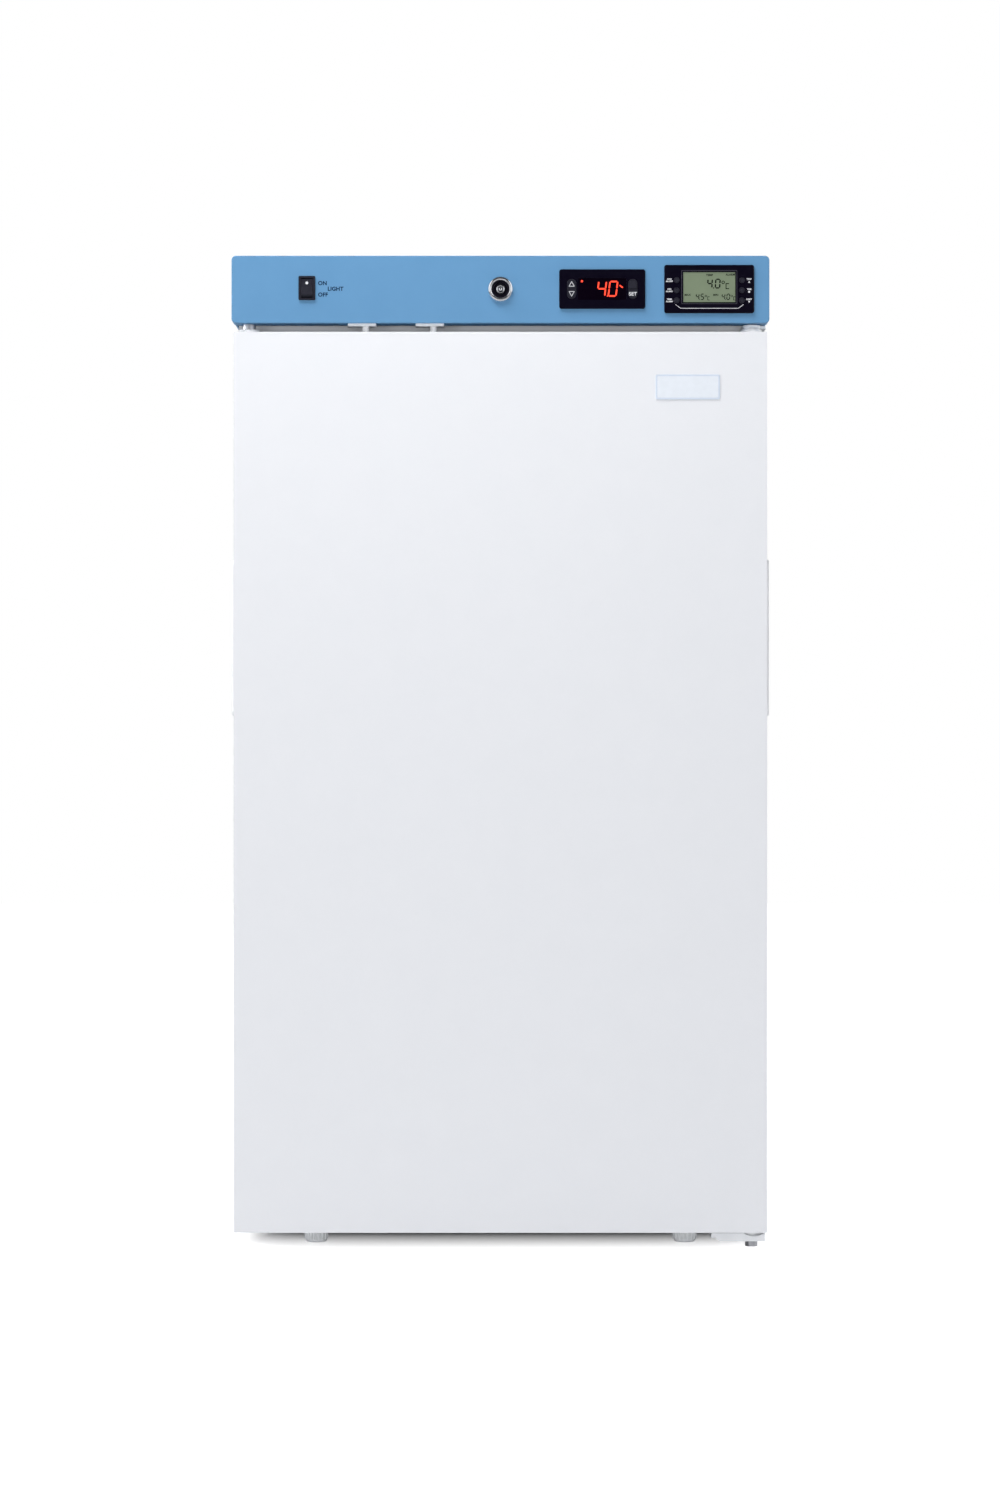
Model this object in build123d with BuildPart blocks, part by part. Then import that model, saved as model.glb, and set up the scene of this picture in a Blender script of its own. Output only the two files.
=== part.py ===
from build123d import *
import os
from math import cos, radians, sin, sqrt

os.makedirs("parts", exist_ok=True)

# Overall size in millimetres: X to the right, Y to the back, Z up, origin under the middle
overall_width = 470.0
overall_depth = 512.0
overall_height = 872.0

# Clearances
moving_gap = 0.3  # between pieces that pass each other
running_gap = 0.05  # radial, around pins, plugs and studs
panel_play = 0.8  # between the control panel's flanges and the cabinet

# Control panel, a folded sheet box across the top of the front
panel_sheet = 1.2
panel_height = 59.0
panel_corner = 4.0
panel_bend = 1.0
panel_overlap = 25.0  # how far its flanges lap over the cabinet
panel_lip = 20.0  # depth of its bottom flange
panel_to_door = 7.5
panel_screw_pitch = 28.0

# Door
door_thickness = 50.0
door_bottom_z = 18.5
door_sheet = 1.0
door_return = 10.0
door_liner_wall = 2.0
door_cap_height = 12.0
door_boss_height = 2.6
door_boss_radius = 9.5
dyke_inset = 55.0  # from the door's side to the raised frame on its liner
dyke_bottom_inset = 57.0
dyke_top_inset = 45.0
dyke_height = 28.0
dyke_width = 40.0
dyke_taper = 4.0
door_panel_recess = 22.0  # from the dyke's crest down to the middle of the liner

# Gasket
gasket_width = 18.0
gasket_inset = 14.0
gasket_space = 12.0  # from the door's back to the cabinet's front
gasket_foot = 4.0
gasket_neck = 4.5
gasket_neck_inset = 3.0
gasket_lip_inset = 1.0

# Hinge axis, from the door's right side and from its front face
hinge_from_side = 13.0
hinge_from_front = 14.0
hinge_pin_radius = 4.0
bush_wall = 2.0
bush_flange_radius = 8.0
upper_bush_flange = 1.2
lower_bush_flange = 2.4
bracket_sheet = 2.5
bracket_width = 47.0
bracket_edge = 1.7  # from the bottom bracket's right end to the door's side
bracket_reach = 60.0  # how far the bottom bracket goes under the cabinet
bracket_leg = 42.0  # height of the top bracket's leg
bracket_leg_reach = 26.0  # how far that leg goes left of the hinge axis
bracket_eye_radius = 8.0
bracket_lip_inset = 2.0  # from the door's front to the bottom bracket's lip
bracket_step = 4.0  # from the cabinet's front to the bottom bracket's riser
bracket_slant = 7.0
bracket_slant_drop = 1.5
pin_head_radius = 5.5
upper_pin_head = 0.6
lower_pin_head = 8.0
pin_tip_gap = 1.5
spare_pin_shaft = 14.0
scoop_radius = 17.0
scoop_depth = 2.6
scoop_from_hinge = 1.5

# Recessed handles, one in each side of the door
handle_height = 137.0
handle_from_bottom = 520.0
handle_flange_width = 42.0
handle_proud = 2.0
handle_wall = 2.0
handle_pocket_depth = 24.0
handle_pocket_height = 108.0
handle_pocket_width = 28.0
handle_corner = 6.0
handle_pocket_corner = 5.0

# Cabinet
cabinet_sheet = 1.0
cabinet_corner = 3.0
top_joggle = 0.3  # how far the top steps down where the control panel laps over it
front_return = 14.0
top_rail_height = 70.5
base_sheet = 1.2
base_upturn = 14.0
side_insulation = 45.0
rear_insulation = 46.0
floor_insulation = 46.0
top_insulation = 100.5
liner_wall = 2.0
liner_radius = 10.0

# Compressor bay, a stepped recess at the back of the base
bay_depth = 138.0
bay_height = 222.0
bay_slope = 50.0
bay_insulation = 42.0

# Shelves and the ledges that carry them
ledge_count = 6
ledge_above_hump = 28.0
ledge_top_room = 131.0  # from the highest ledge up to the ceiling
ledge_from_front = 24.0
ledge_width = 8.0
ledge_height = 6.0
shelf_every = 2
shelf_count = 3
shelf_travel = 14.0
shelf_side_gap = 1.5
shelf_stop_gap = 1.5  # left between a shelf at the end of its travel and the door
shelf_back_gap = 6.0
weld_depth = 0.4
frame_bend = 12.0
frame_rod = 5.0
cross_rod = 4.0
shelf_wire = 3.0
wire_count = 11

# Air duct, fan and evaporator
duct_from_side = 23.0  # from the liner's side wall to the duct cover
duct_depth = 38.0
duct_wall = 2.0
duct_gap = 14.0
fan_radius = 44.0
fan_hub_radius = 15.0
fan_blades = 5
fan_tip_gap = 3.0
blade_sheet = 1.6
blade_root_width = 12.0
blade_root_angle = 38.0
blade_root_overlap = 1.0
blade_tip_width = 24.0
blade_tip_angle = 65.0
rotor_depth = 12.0
rotor_cap = 2.0
motor_flange_radius = 30.0
shaft_radius = 2.0
coil_from_side = 40.0  # from the duct cover's side to the last fin
coil_below_fan = 112.0
coil_from_cover = 5.0
coil_depth = 22.0
coil_fins = 16
coil_tube = 8.0
coil_passes = 4
fin_sheet = 1.0
grille_slots = 16
grille_slot_width = 4.0
grille_margin = 1.0
vent_rows = 5
vent_pitch = 10.0
vent_slot_width = 5.0
vent_from_side = 65.0
vent_rise = 37.0  # from the cover's lower end to the middle row

# Lamp under the ceiling
lamp_length = 150.0
lamp_width = 34.0
lamp_base_height = 8.0
lamp_base_chamfer = 1.5
lamp_lens_height = 9.0
lens_end_margin = 5.0
lens_side_margin = 4.0
lens_corner = 6.0
lens_round = 4.0
lamp_from_front = 45.0

# Temperature probe in its bottle
bottle_radius = 13.0
bottle_height = 50.0
bottle_round = 2.0
bottle_cap_radius = 10.0
bottle_cap_height = 12.0
bottle_from_side = 50.0
bottle_to_duct = 2.0
bottle_clip_width = 13.0
bottle_clip_margin = 10.0
bottle_clip_overlap = 1.0
probe_radius = 2.5
probe_seat = 2.0
lead_rise = 12.0
lead_bend = 7.0
lead_below_duct_top = 10.0

# Rocker switch for the light
rocker_from_left = 66.0  # from the panel's left end
rocker_raise = 1.0
rocker_bezel_width = 14.6
rocker_bezel_height = 21.0
rocker_bezel_proud = 2.0
rocker_bezel_corner = 1.0
rocker_body_width = 12.6
rocker_body_height = 19.6
rocker_radius = 8.4
rocker_width = 10.0
rocker_face_depth = 4.6
rocker_face_dip = 1.0
rocker_tilt = 12.0
rocker_pivot_depth = 1.5
rocker_body_depth = 20.0
rocker_side_angle = 15.0
spade_pitch = 7.0
spade_sheet = 0.8
spade_width = 6.0
spade_length = 8.0

# Tubular cam lock
lock_bezel_radius = 11.0
lock_bezel_proud = 3.5
lock_barrel_radius = 9.5
lock_plug_radius = 7.7
lock_post_radius = 3.75
lock_keyway = 2.6
lock_keyway_depth = 6.0
lock_plug_sunk = 1.0
lock_length = 22.5
cam_length = 46.0
cam_width = 14.0
cam_sheet = 2.5
cam_neck_radius = 5.2
cam_neck = 0.5
cam_nut_radius = 5.0
cam_nut_height = 4.0
cam_gap = 1.5  # around the cam in the door's slot
cam_floor_gap = 1.0
lock_nut_radius = 13.5
lock_nut_height = 4.0
lock_square = 6.0

# Temperature controller
controller_from_right = 146.2  # from the panel's right end
controller_width = 75.0
controller_height = 34.3
controller_proud = 3.0
controller_body_width = 71.0
controller_body_height = 29.0
controller_body_depth = 52.0
display_width = 42.0
display_height = 19.0
key_x = 26.7
key_width = 7.8
key_height = 17.0

# Alarm thermometer
alarm_from_right = 52.8  # from the panel's right end
alarm_width = 78.4
alarm_height = 42.0
alarm_proud = 3.0
alarm_body_width = 72.0
alarm_body_height = 37.0
alarm_body_depth = 22.0
lcd_width = 45.4
lcd_height = 26.2
lcd_raise = 1.6
button_x = 28.5
button_radius = 2.45
button_pitch = 8.8
button_drop = 1.2

# Bezels, windows, keys and buttons of both instruments
bezel_corner = 2.0
bezel_chamfer = 0.6
window_sheet = 0.8
window_sunk = 0.5
key_proud = 0.5
key_seat = 2.0  # how far a key reaches behind its bezel's front
key_travel = 0.8
key_gap = 0.2

# Door switches in the panel's bottom flange
switch_bezel_width = 25.0
switch_bezel_depth = 14.0
switch_bezel_sheet = 2.2
switch_bezel_corner = 1.5
switch_body_width = 18.0
switch_body_depth = 10.0
switch_body_height = 24.0
switch_roof = 2.0
switch_from_left = 114.0  # from the panel's left end to the first switch
switch_pitch = 59.2
plunger_radius = 3.0
plunger_round = 1.0
plunger_offset = 3.0
plunger_travel = 2.0
plunger_top_gap = 1.0

# Feet
foot_height = 22.0  # from the floor to the cabinet's underside
foot_radius = 10.75
foot_body_height = 19.0
foot_pad = 2.4
foot_flutes = 18
flute_radius = 1.2
foot_from_side = 68.0
foot_from_front = 85.0
foot_from_back = 34.0
stud_radius = 4.0
stud_length = 12.0
foot_block = 28.0

# Fasteners
screw_radius = 2.0
screw_head_radius = 3.6
screw_head_height = 2.0
screw_length = 8.0
top_screw_places = (-20.0, -7.0, 6.0)  # along the top bracket's leg, from the hinge axis
top_screw_rise = 30.0
bottom_screw_places = ((-26.0, 20.0), (0.0, 20.0), (-13.0, 45.0))  # from the axis and the cabinet
back_screw_from_side = 9.0
back_screw_from_end = 20.0

# Compressor
compressor_offset = 35.0  # to the left of the middle
shell_length = 132.0
shell_width = 96.0
shell_height = 128.0
shell_crown = 30.0
seam_proud = 3.0
seam_height = 4.0
relay_length = 32.0
relay_width = 44.0
relay_height = 48.0
relay_rise = 20.0
relay_overlap = 6.0
mount_plate = 3.0
mount_plate_length = 172.0
mount_plate_width = 100.0
mount_plate_corner = 8.0
mount_length_pitch = 152.0
mount_width_pitch = 80.0
grommet_radius = 12.0
grommet_neck_radius = 6.0
grommet_height = 16.0
grommet_lip = 2.0
tray_length = 120.0
tray_width = 68.0
tray_height = 24.0
tray_wall = 2.0
pipe_radius = 3.0
pipe_bend = 14.0
pipe_reach = 74.0  # from the shell's end to the upright pipe
discharge_rise = 86.0
liquid_rise = 14.0
drier_radius = 9.0
drier_length = 30.0
drier_rise = 34.0

# Power inlet in the back
inlet_width = 27.0
inlet_height = 20.0
inlet_flange = 2.0
inlet_lug = 8.0  # how far the flange reaches past each end of the socket
inlet_rim = 3.0
inlet_corner = 3.0
inlet_body_depth = 20.0
inlet_recess_depth = 15.0
inlet_wall = 1.5
inlet_from_side = 38.0
inlet_tab_width = 60.0
inlet_tab_height = 70.0
contact_places = ((-7.0, 1.0), (0.0, 4.0), (7.0, 1.0))
contact_width = 2.0
contact_height = 4.0
contact_sunk = 2.0  # from the back panel to the contacts' tips

# Places that follow from the sizes above
rocker_end_half = sqrt(rocker_radius**2 - rocker_face_depth**2)
rocker_proud = (
    rocker_face_depth * cos(radians(rocker_tilt))
    + rocker_end_half * sin(radians(rocker_tilt))
    - rocker_pivot_depth
)
front_y = rocker_proud - overall_depth / 2
rear_y = overall_depth / 2 - screw_head_height
door_back_y = front_y + door_thickness
cabinet_front_y = door_back_y + gasket_space
cabinet_half = overall_width / 2 - panel_sheet - panel_play
cabinet_top_z = overall_height - panel_sheet - moving_gap
door_half = cabinet_half
door_top_z = overall_height - panel_height - panel_to_door
door_mid_z = (door_bottom_z + door_top_z) / 2
door_height = door_top_z - door_bottom_z
panel_bottom_z = overall_height - panel_height
panel_mid_z = overall_height - panel_height / 2
panel_depth = cabinet_front_y + panel_overlap - front_y
lip_mid_y = front_y + panel_lip / 2
hinge_x = door_half - hinge_from_side
hinge_y = front_y + hinge_from_front
cavity_half = cabinet_half - side_insulation
cavity_floor_z = foot_height + floor_insulation
cavity_top_z = cabinet_top_z - top_insulation
cavity_back_y = rear_y - rear_insulation
bay_front_y = rear_y - bay_depth
bay_top_z = foot_height + bay_height
hump_top_z = bay_top_z + bay_insulation
top_rail_z = cabinet_top_z - top_rail_height
base_top_z = foot_height + base_sheet
dyke_tip_y = door_back_y + dyke_height
dyke_half = door_half - dyke_inset
dyke_bottom_z = door_bottom_z + dyke_bottom_inset
dyke_top_z = door_top_z - dyke_top_inset
duct_front_y = cavity_back_y - duct_depth
duct_bottom_z = hump_top_z + duct_gap
duct_top_z = cavity_top_z - 2 * duct_gap
duct_half = cavity_half - duct_from_side
fan_z = duct_top_z - fan_radius - 2 * duct_gap
first_ledge_z = hump_top_z + ledge_above_hump
ledge_pitch = (cavity_top_z - ledge_top_room - first_ledge_z) / (ledge_count - 1)
panel_half = overall_width / 2
rocker_x = rocker_from_left - panel_half
controller_x = panel_half - controller_from_right
alarm_x = panel_half - alarm_from_right
switch_places = (switch_from_left - panel_half, switch_from_left + switch_pitch - panel_half)
inlet_x = inlet_from_side - cabinet_half
foot_places = [
    (side * (cabinet_half - foot_from_side), y)
    for y in (front_y + foot_from_front, rear_y - foot_from_back)
    for side in (-1, 1)
]


def save(piece, node):
    """Label a finished sub-part and write it to its own file."""
    piece.part.label = node
    export_step(piece.part, f"parts/{node}.step")


def facing_front(y):
    """A plane at depth y that faces the front, with local x to the right and local y up."""
    return Plane.XZ.offset(-y)


def slab(x_span, y_span, z_span, mode=Mode.ADD):
    """Add or cut a rectangular block that is given by its limits along each axis."""
    spans = (x_span, y_span, z_span)
    with Locations(tuple((low + high) / 2 for low, high in spans)):
        Box(*[high - low for low, high in spans], mode=mode)


def round_bar(radius, start, end, mode=Mode.ADD):
    """Add or cut a round bar between two points that differ along one axis only."""
    run = Vector(*end) - Vector(*start)
    middle = (Vector(*start) + Vector(*end)) / 2
    place = Plane(origin=middle, z_dir=run)
    with Locations(place):
        Cylinder(radius, run.length, mode=mode)


# Profiles in the YZ plane that several pieces share

with BuildSketch(Plane.YZ) as bay:
    with BuildLine():
        Polyline(
            (bay_front_y, base_top_z),
            (bay_front_y, bay_top_z - bay_slope),
            (bay_front_y + bay_slope, bay_top_z),
            (rear_y, bay_top_z),
            (rear_y, base_top_z),
            close=True,
        )
    make_face()

with BuildSketch(Plane.YZ) as cavity:
    with Locations(((cabinet_front_y + cavity_back_y) / 2, (cavity_floor_z + cavity_top_z) / 2)):
        Rectangle(cavity_back_y - cabinet_front_y, cavity_top_z - cavity_floor_z)
    offset(bay.sketch_local, amount=bay_insulation, kind=Kind.INTERSECTION, mode=Mode.SUBTRACT)
    inner_corners = [v for v in cavity.vertices() if v.X > cabinet_front_y + liner_radius]
    fillet(inner_corners, radius=liner_radius)

with BuildSketch(Plane.YZ) as liner_outside:
    offset(cavity.sketch_local, amount=liner_wall, kind=Kind.INTERSECTION)


# Cabinet

with BuildPart() as cabinet_wrap:
    with BuildSketch(facing_front(cabinet_front_y)):
        with Locations((0, (foot_height + cabinet_top_z) / 2)):
            Rectangle(2 * cabinet_half, cabinet_top_z - foot_height)
    extrude(amount=-(rear_y - cabinet_sheet - cabinet_front_y))
    top_edges = cabinet_wrap.edges().filter_by(Axis.Y).group_by(Axis.Z)[-1]
    fillet(top_edges, radius=cabinet_corner)
    inner_half = cabinet_half - cabinet_sheet
    slab(
        (-inner_half, inner_half),
        (cabinet_front_y + cabinet_sheet, rear_y),
        (foot_height - cabinet_sheet, cabinet_top_z - cabinet_corner),
        Mode.SUBTRACT,
    )
    slab(
        (-cabinet_half + cabinet_corner, cabinet_half - cabinet_corner),
        (cabinet_front_y + cabinet_sheet, rear_y),
        (cabinet_top_z - cabinet_corner, cabinet_top_z - cabinet_sheet),
        Mode.SUBTRACT,
    )
    slab(
        (-cabinet_half + front_return, cabinet_half - front_return),
        (cabinet_front_y, cabinet_front_y + cabinet_sheet),
        (foot_height, top_rail_z),
        Mode.SUBTRACT,
    )
    slab(
        (-cabinet_half, cabinet_half),
        (cabinet_front_y, cabinet_front_y + panel_overlap + panel_play),
        (cabinet_top_z - top_joggle, cabinet_top_z),
        Mode.SUBTRACT,
    )

with BuildPart() as back_panel:
    tab_low_z = bay_top_z - inlet_tab_height
    slab(
        (-cabinet_half, cabinet_half),
        (rear_y - cabinet_sheet, rear_y),
        (bay_top_z, cabinet_top_z - cabinet_corner),
    )
    slab(
        (inlet_x - inlet_tab_width / 2, inlet_x + inlet_tab_width / 2),
        (rear_y - cabinet_sheet, rear_y),
        (tab_low_z, bay_top_z),
    )

with BuildPart() as base_pan:
    inner_half = cabinet_half - cabinet_sheet
    slab(
        (-inner_half, inner_half),
        (cabinet_front_y + cabinet_sheet, rear_y - cabinet_sheet),
        (foot_height, base_top_z),
    )
    slab(
        (-cabinet_half + front_return, cabinet_half - front_return),
        (cabinet_front_y, cabinet_front_y + base_sheet),
        (foot_height, foot_height + base_upturn),
    )
    slab(
        (-inner_half, inner_half),
        (rear_y - base_sheet, rear_y),
        (foot_height, foot_height + base_upturn),
    )
    for x, y in foot_places:
        slab(
            (x - foot_block / 2, x + foot_block / 2),
            (y - foot_block / 2, y + foot_block / 2),
            (base_top_z, base_top_z + stud_length),
        )
        round_bar(
            stud_radius + running_gap,
            (x, y, foot_height - base_sheet),
            (x, y, base_top_z + stud_length - base_sheet),
            Mode.SUBTRACT,
        )

with BuildPart() as inner_liner:
    outer_half = cavity_half + liner_wall
    flange_half = cabinet_half - front_return - moving_gap
    flange_low_z = foot_height + base_upturn + moving_gap
    flange_high_z = top_rail_z - moving_gap
    with BuildSketch(Plane.YZ.offset(-outer_half)):
        add(liner_outside.sketch_local)
    extrude(amount=2 * outer_half)
    slab(
        (-outer_half, outer_half),
        (cabinet_front_y - 2 * liner_wall, cabinet_front_y),
        (cavity_floor_z - 2 * liner_wall, cavity_top_z + 2 * liner_wall),
        Mode.SUBTRACT,
    )
    slab(
        (-flange_half, flange_half),
        (cabinet_front_y, cabinet_front_y + liner_wall),
        (flange_low_z, flange_high_z),
    )
    with BuildSketch(Plane.YZ.offset(-cavity_half)):
        add(cavity.sketch_local)
    extrude(amount=2 * cavity_half, mode=Mode.SUBTRACT)
    for index in range(ledge_count):
        ledge_top_z = first_ledge_z + index * ledge_pitch
        for side in (-1, 1):
            wall_x = side * cavity_half
            tip_x = side * (cavity_half - ledge_width)
            slab(
                (min(wall_x, tip_x), max(wall_x, tip_x)),
                (cabinet_front_y + ledge_from_front, duct_front_y),
                (ledge_top_z - ledge_height, ledge_top_z),
            )

with BuildPart() as cabinet_foam:
    inner_half = cabinet_half - cabinet_sheet
    slab(
        (-inner_half, inner_half),
        (cabinet_front_y + liner_wall, rear_y - cabinet_sheet),
        (base_top_z, cabinet_top_z - cabinet_corner),
    )
    with BuildSketch(Plane.YZ.offset(-inner_half)):
        offset(bay.sketch_local, amount=cabinet_sheet, kind=Kind.INTERSECTION)
    extrude(amount=2 * inner_half, mode=Mode.SUBTRACT)
    outer_half = cavity_half + liner_wall
    with BuildSketch(Plane.YZ.offset(-outer_half)):
        add(liner_outside.sketch_local)
    extrude(amount=2 * outer_half, mode=Mode.SUBTRACT)
    for x, y in foot_places:
        slab(
            (x - foot_block / 2, x + foot_block / 2),
            (y - foot_block / 2, y + foot_block / 2),
            (base_top_z, base_top_z + stud_length),
            Mode.SUBTRACT,
        )

with BuildPart() as bay_partition:
    inner_half = cabinet_half - cabinet_sheet
    with BuildSketch(Plane.YZ.offset(-inner_half)):
        offset(bay.sketch_local, amount=cabinet_sheet, kind=Kind.INTERSECTION)
        add(bay.sketch_local, mode=Mode.SUBTRACT)
        with Locations((rear_y, (base_top_z + bay_top_z) / 2)):
            Rectangle(2 * cabinet_sheet, 2 * bay_top_z, mode=Mode.SUBTRACT)
        with Locations(((bay_front_y + rear_y) / 2, base_top_z - cabinet_sheet)):
            Rectangle(2 * bay_depth, 2 * cabinet_sheet, mode=Mode.SUBTRACT)
    extrude(amount=2 * inner_half)


# Feet, fluted adjusters on threaded studs

with BuildSketch() as foot_outline:
    Circle(foot_radius)
    with PolarLocations(foot_radius, foot_flutes):
        Circle(flute_radius, mode=Mode.SUBTRACT)

foot_names = ("foot_front_left", "foot_front_right", "foot_rear_left", "foot_rear_right")
feet = {}
for node, (x, y) in zip(foot_names, foot_places):
    with BuildPart() as foot:
        with BuildSketch(Plane((x, y, foot_pad))):
            add(foot_outline.sketch_local)
        extrude(amount=foot_body_height - foot_pad)
        round_bar(foot_radius - flute_radius, (x, y, 0), (x, y, foot_pad))
        chamfer(foot.edges().group_by(Axis.Z)[0], length=foot_pad / 2)
        round_bar(stud_radius, (x, y, foot_body_height), (x, y, foot_height + stud_length - base_sheet))
    feet[node] = foot


# Control panel, its cut-outs and the fittings that it carries

lock_z = panel_mid_z
rocker_z = panel_mid_z + rocker_raise

with BuildPart() as control_panel:
    with BuildSketch(facing_front(front_y)):
        with Locations((0, panel_mid_z)):
            RectangleRounded(overall_width, panel_height, panel_corner)
    extrude(amount=-panel_depth)
    with BuildSketch(facing_front(front_y + panel_sheet)):
        with Locations((0, panel_mid_z)):
            RectangleRounded(
                overall_width - 2 * panel_sheet,
                panel_height - 2 * panel_sheet,
                panel_corner - panel_sheet,
            )
    extrude(amount=-panel_depth, mode=Mode.SUBTRACT)
    slab(
        (-overall_width, overall_width),
        (front_y + panel_lip, front_y + 2 * panel_depth),
        (panel_bottom_z, panel_bottom_z + panel_corner),
        Mode.SUBTRACT,
    )
    front_rim = control_panel.faces().sort_by(Axis.Y)[0].outer_wire().edges()
    fillet(front_rim, radius=panel_bend)
    with BuildSketch(facing_front(front_y)):
        with Locations((rocker_x, rocker_z)):
            Rectangle(rocker_body_width, rocker_body_height)
        with Locations((0, lock_z)):
            Circle(lock_barrel_radius + running_gap)
        with Locations((controller_x, panel_mid_z)):
            Rectangle(controller_body_width, controller_body_height)
        with Locations((alarm_x, panel_mid_z)):
            Rectangle(alarm_body_width, alarm_body_height)
    extrude(amount=-2 * panel_sheet, mode=Mode.SUBTRACT)
    with BuildSketch(Plane.XY.offset(panel_bottom_z)):
        for x in switch_places:
            with Locations((x, lip_mid_y)):
                Rectangle(switch_body_width, switch_body_depth)
        with Locations((-hinge_x, hinge_y)):
            Circle(hinge_pin_radius + running_gap)
    extrude(amount=panel_sheet, mode=Mode.SUBTRACT)

with BuildPart() as light_switch_housing:
    cavity_reach = rocker_radius + moving_gap
    body_back_y = front_y + rocker_body_depth
    with BuildSketch(facing_front(front_y - rocker_bezel_proud)):
        with Locations((rocker_x, rocker_z)):
            RectangleRounded(rocker_bezel_width, rocker_bezel_height, rocker_bezel_corner)
    extrude(amount=-rocker_bezel_proud)
    slab(
        (rocker_x - rocker_body_width / 2, rocker_x + rocker_body_width / 2),
        (front_y, body_back_y),
        (rocker_z - rocker_body_height / 2, rocker_z + rocker_body_height / 2),
    )
    slab(
        (rocker_x - rocker_width / 2 - moving_gap, rocker_x + rocker_width / 2 + moving_gap),
        (front_y - rocker_bezel_proud, front_y + rocker_pivot_depth + rocker_radius / 2),
        (rocker_z - cavity_reach, rocker_z + cavity_reach),
        Mode.SUBTRACT,
    )
    for x in (rocker_x - spade_pitch / 2, rocker_x + spade_pitch / 2):
        slab(
            (x - spade_sheet / 2, x + spade_sheet / 2),
            (body_back_y, body_back_y + spade_length),
            (rocker_z - spade_width / 2, rocker_z + spade_width / 2),
        )

# The rocker rests with its upper end pressed in
tilt = radians(rocker_tilt)
rocker_plane = Plane(
    origin=(rocker_x - rocker_width / 2, front_y + rocker_pivot_depth, rocker_z),
    x_dir=(0, cos(tilt), -sin(tilt)),
    z_dir=(1, 0, 0),
)
with BuildPart() as light_switch_rocker:
    with BuildSketch(rocker_plane):
        with BuildLine():
            face_end = (-rocker_face_depth, rocker_end_half)
            face_low = (-rocker_face_depth, -rocker_end_half)
            back_end = (0, rocker_radius)
            back_low = (0, -rocker_radius)
            side_angle = radians(rocker_side_angle)
            side_depth = rocker_radius * sin(side_angle)
            side_half = rocker_radius * cos(side_angle)
            Line(face_low, (-rocker_face_depth + rocker_face_dip, 0))
            Line((-rocker_face_depth + rocker_face_dip, 0), face_end)
            ThreePointArc(face_end, (-side_depth, side_half), back_end)
            Line(back_end, back_low)
            ThreePointArc(back_low, (-side_depth, -side_half), face_low)
        make_face()
    extrude(amount=rocker_width)

with BuildPart() as lock_body:
    barrel_back_y = front_y + lock_length
    with BuildSketch(facing_front(front_y - lock_bezel_proud)):
        with Locations((0, lock_z)):
            Circle(lock_bezel_radius)
    extrude(amount=-lock_bezel_proud)
    chamfer(lock_body.edges().group_by(Axis.Y)[0], length=lock_bezel_proud / 3)
    round_bar(lock_barrel_radius, (0, front_y, lock_z), (0, barrel_back_y, lock_z))
    round_bar(
        lock_plug_radius + running_gap,
        (0, front_y - lock_bezel_proud, lock_z),
        (0, barrel_back_y, lock_z),
        Mode.SUBTRACT,
    )
    with BuildSketch(facing_front(front_y + panel_sheet)):
        with Locations((0, lock_z)):
            RegularPolygon(lock_nut_radius, 6, rotation=30)
            Circle(lock_barrel_radius, mode=Mode.SUBTRACT)
    extrude(amount=-lock_nut_height)

with BuildPart() as lock_plug:
    plug_front_y = front_y - lock_bezel_proud + lock_plug_sunk
    plug_back_y = front_y + lock_length
    round_bar(lock_plug_radius, (0, plug_front_y, lock_z), (0, plug_back_y, lock_z))
    with BuildSketch(facing_front(plug_front_y)):
        with Locations((0, lock_z)):
            Circle(lock_post_radius + lock_keyway)
            Circle(lock_post_radius, mode=Mode.SUBTRACT)
        with Locations((0, lock_z + lock_post_radius + lock_keyway)):
            Rectangle(lock_keyway, lock_keyway)
    extrude(amount=-lock_keyway_depth, mode=Mode.SUBTRACT)
    cam_front_y = plug_back_y + cam_neck
    round_bar(cam_neck_radius, (0, plug_back_y, lock_z), (0, cam_front_y, lock_z))
    tail_back_y = cam_front_y + cam_sheet
    slab(
        (-lock_square / 2, lock_square / 2),
        (cam_front_y, tail_back_y),
        (lock_z - lock_square / 2, lock_z + lock_square / 2),
    )
    with BuildSketch(facing_front(tail_back_y)):
        with Locations((0, lock_z)):
            RegularPolygon(cam_nut_radius, 6)
    extrude(amount=-cam_nut_height)

with BuildPart() as lock_cam:
    with BuildSketch(facing_front(cam_front_y)) as cam_outline:
        with Locations((0, lock_z)):
            Circle(cam_width / 2)
        with Locations((-cam_length / 2, lock_z)):
            Rectangle(cam_length, cam_width)
        fillet(cam_outline.vertices().sort_by(Axis.X)[:2], radius=cam_sheet)
        with Locations((0, lock_z)):
            Rectangle(lock_square, lock_square, mode=Mode.SUBTRACT)
    extrude(amount=-cam_sheet)

# Both instruments are a bezel with a body behind it, a sunk window and wells for their keys


def instrument(x, width, height, proud, body_width, body_height, body_depth):
    """The closed case of an instrument: its bezel in front of the panel and its body behind."""
    bezel_front_y = front_y - proud
    with BuildPart() as case:
        with BuildSketch(facing_front(bezel_front_y)):
            with Locations((x, panel_mid_z)):
                RectangleRounded(width, height, bezel_corner)
        extrude(amount=-proud)
        chamfer(case.edges().group_by(Axis.Y)[0], length=bezel_chamfer)
        slab(
            (x - body_width / 2 + key_gap, x + body_width / 2 - key_gap),
            (front_y, front_y + body_depth),
            (panel_mid_z - body_height / 2 + key_gap, panel_mid_z + body_height / 2 - key_gap),
        )
    return case.part


well_depth = key_seat + key_travel + moving_gap
controller_front_y = front_y - controller_proud
alarm_front_y = front_y - alarm_proud

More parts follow.
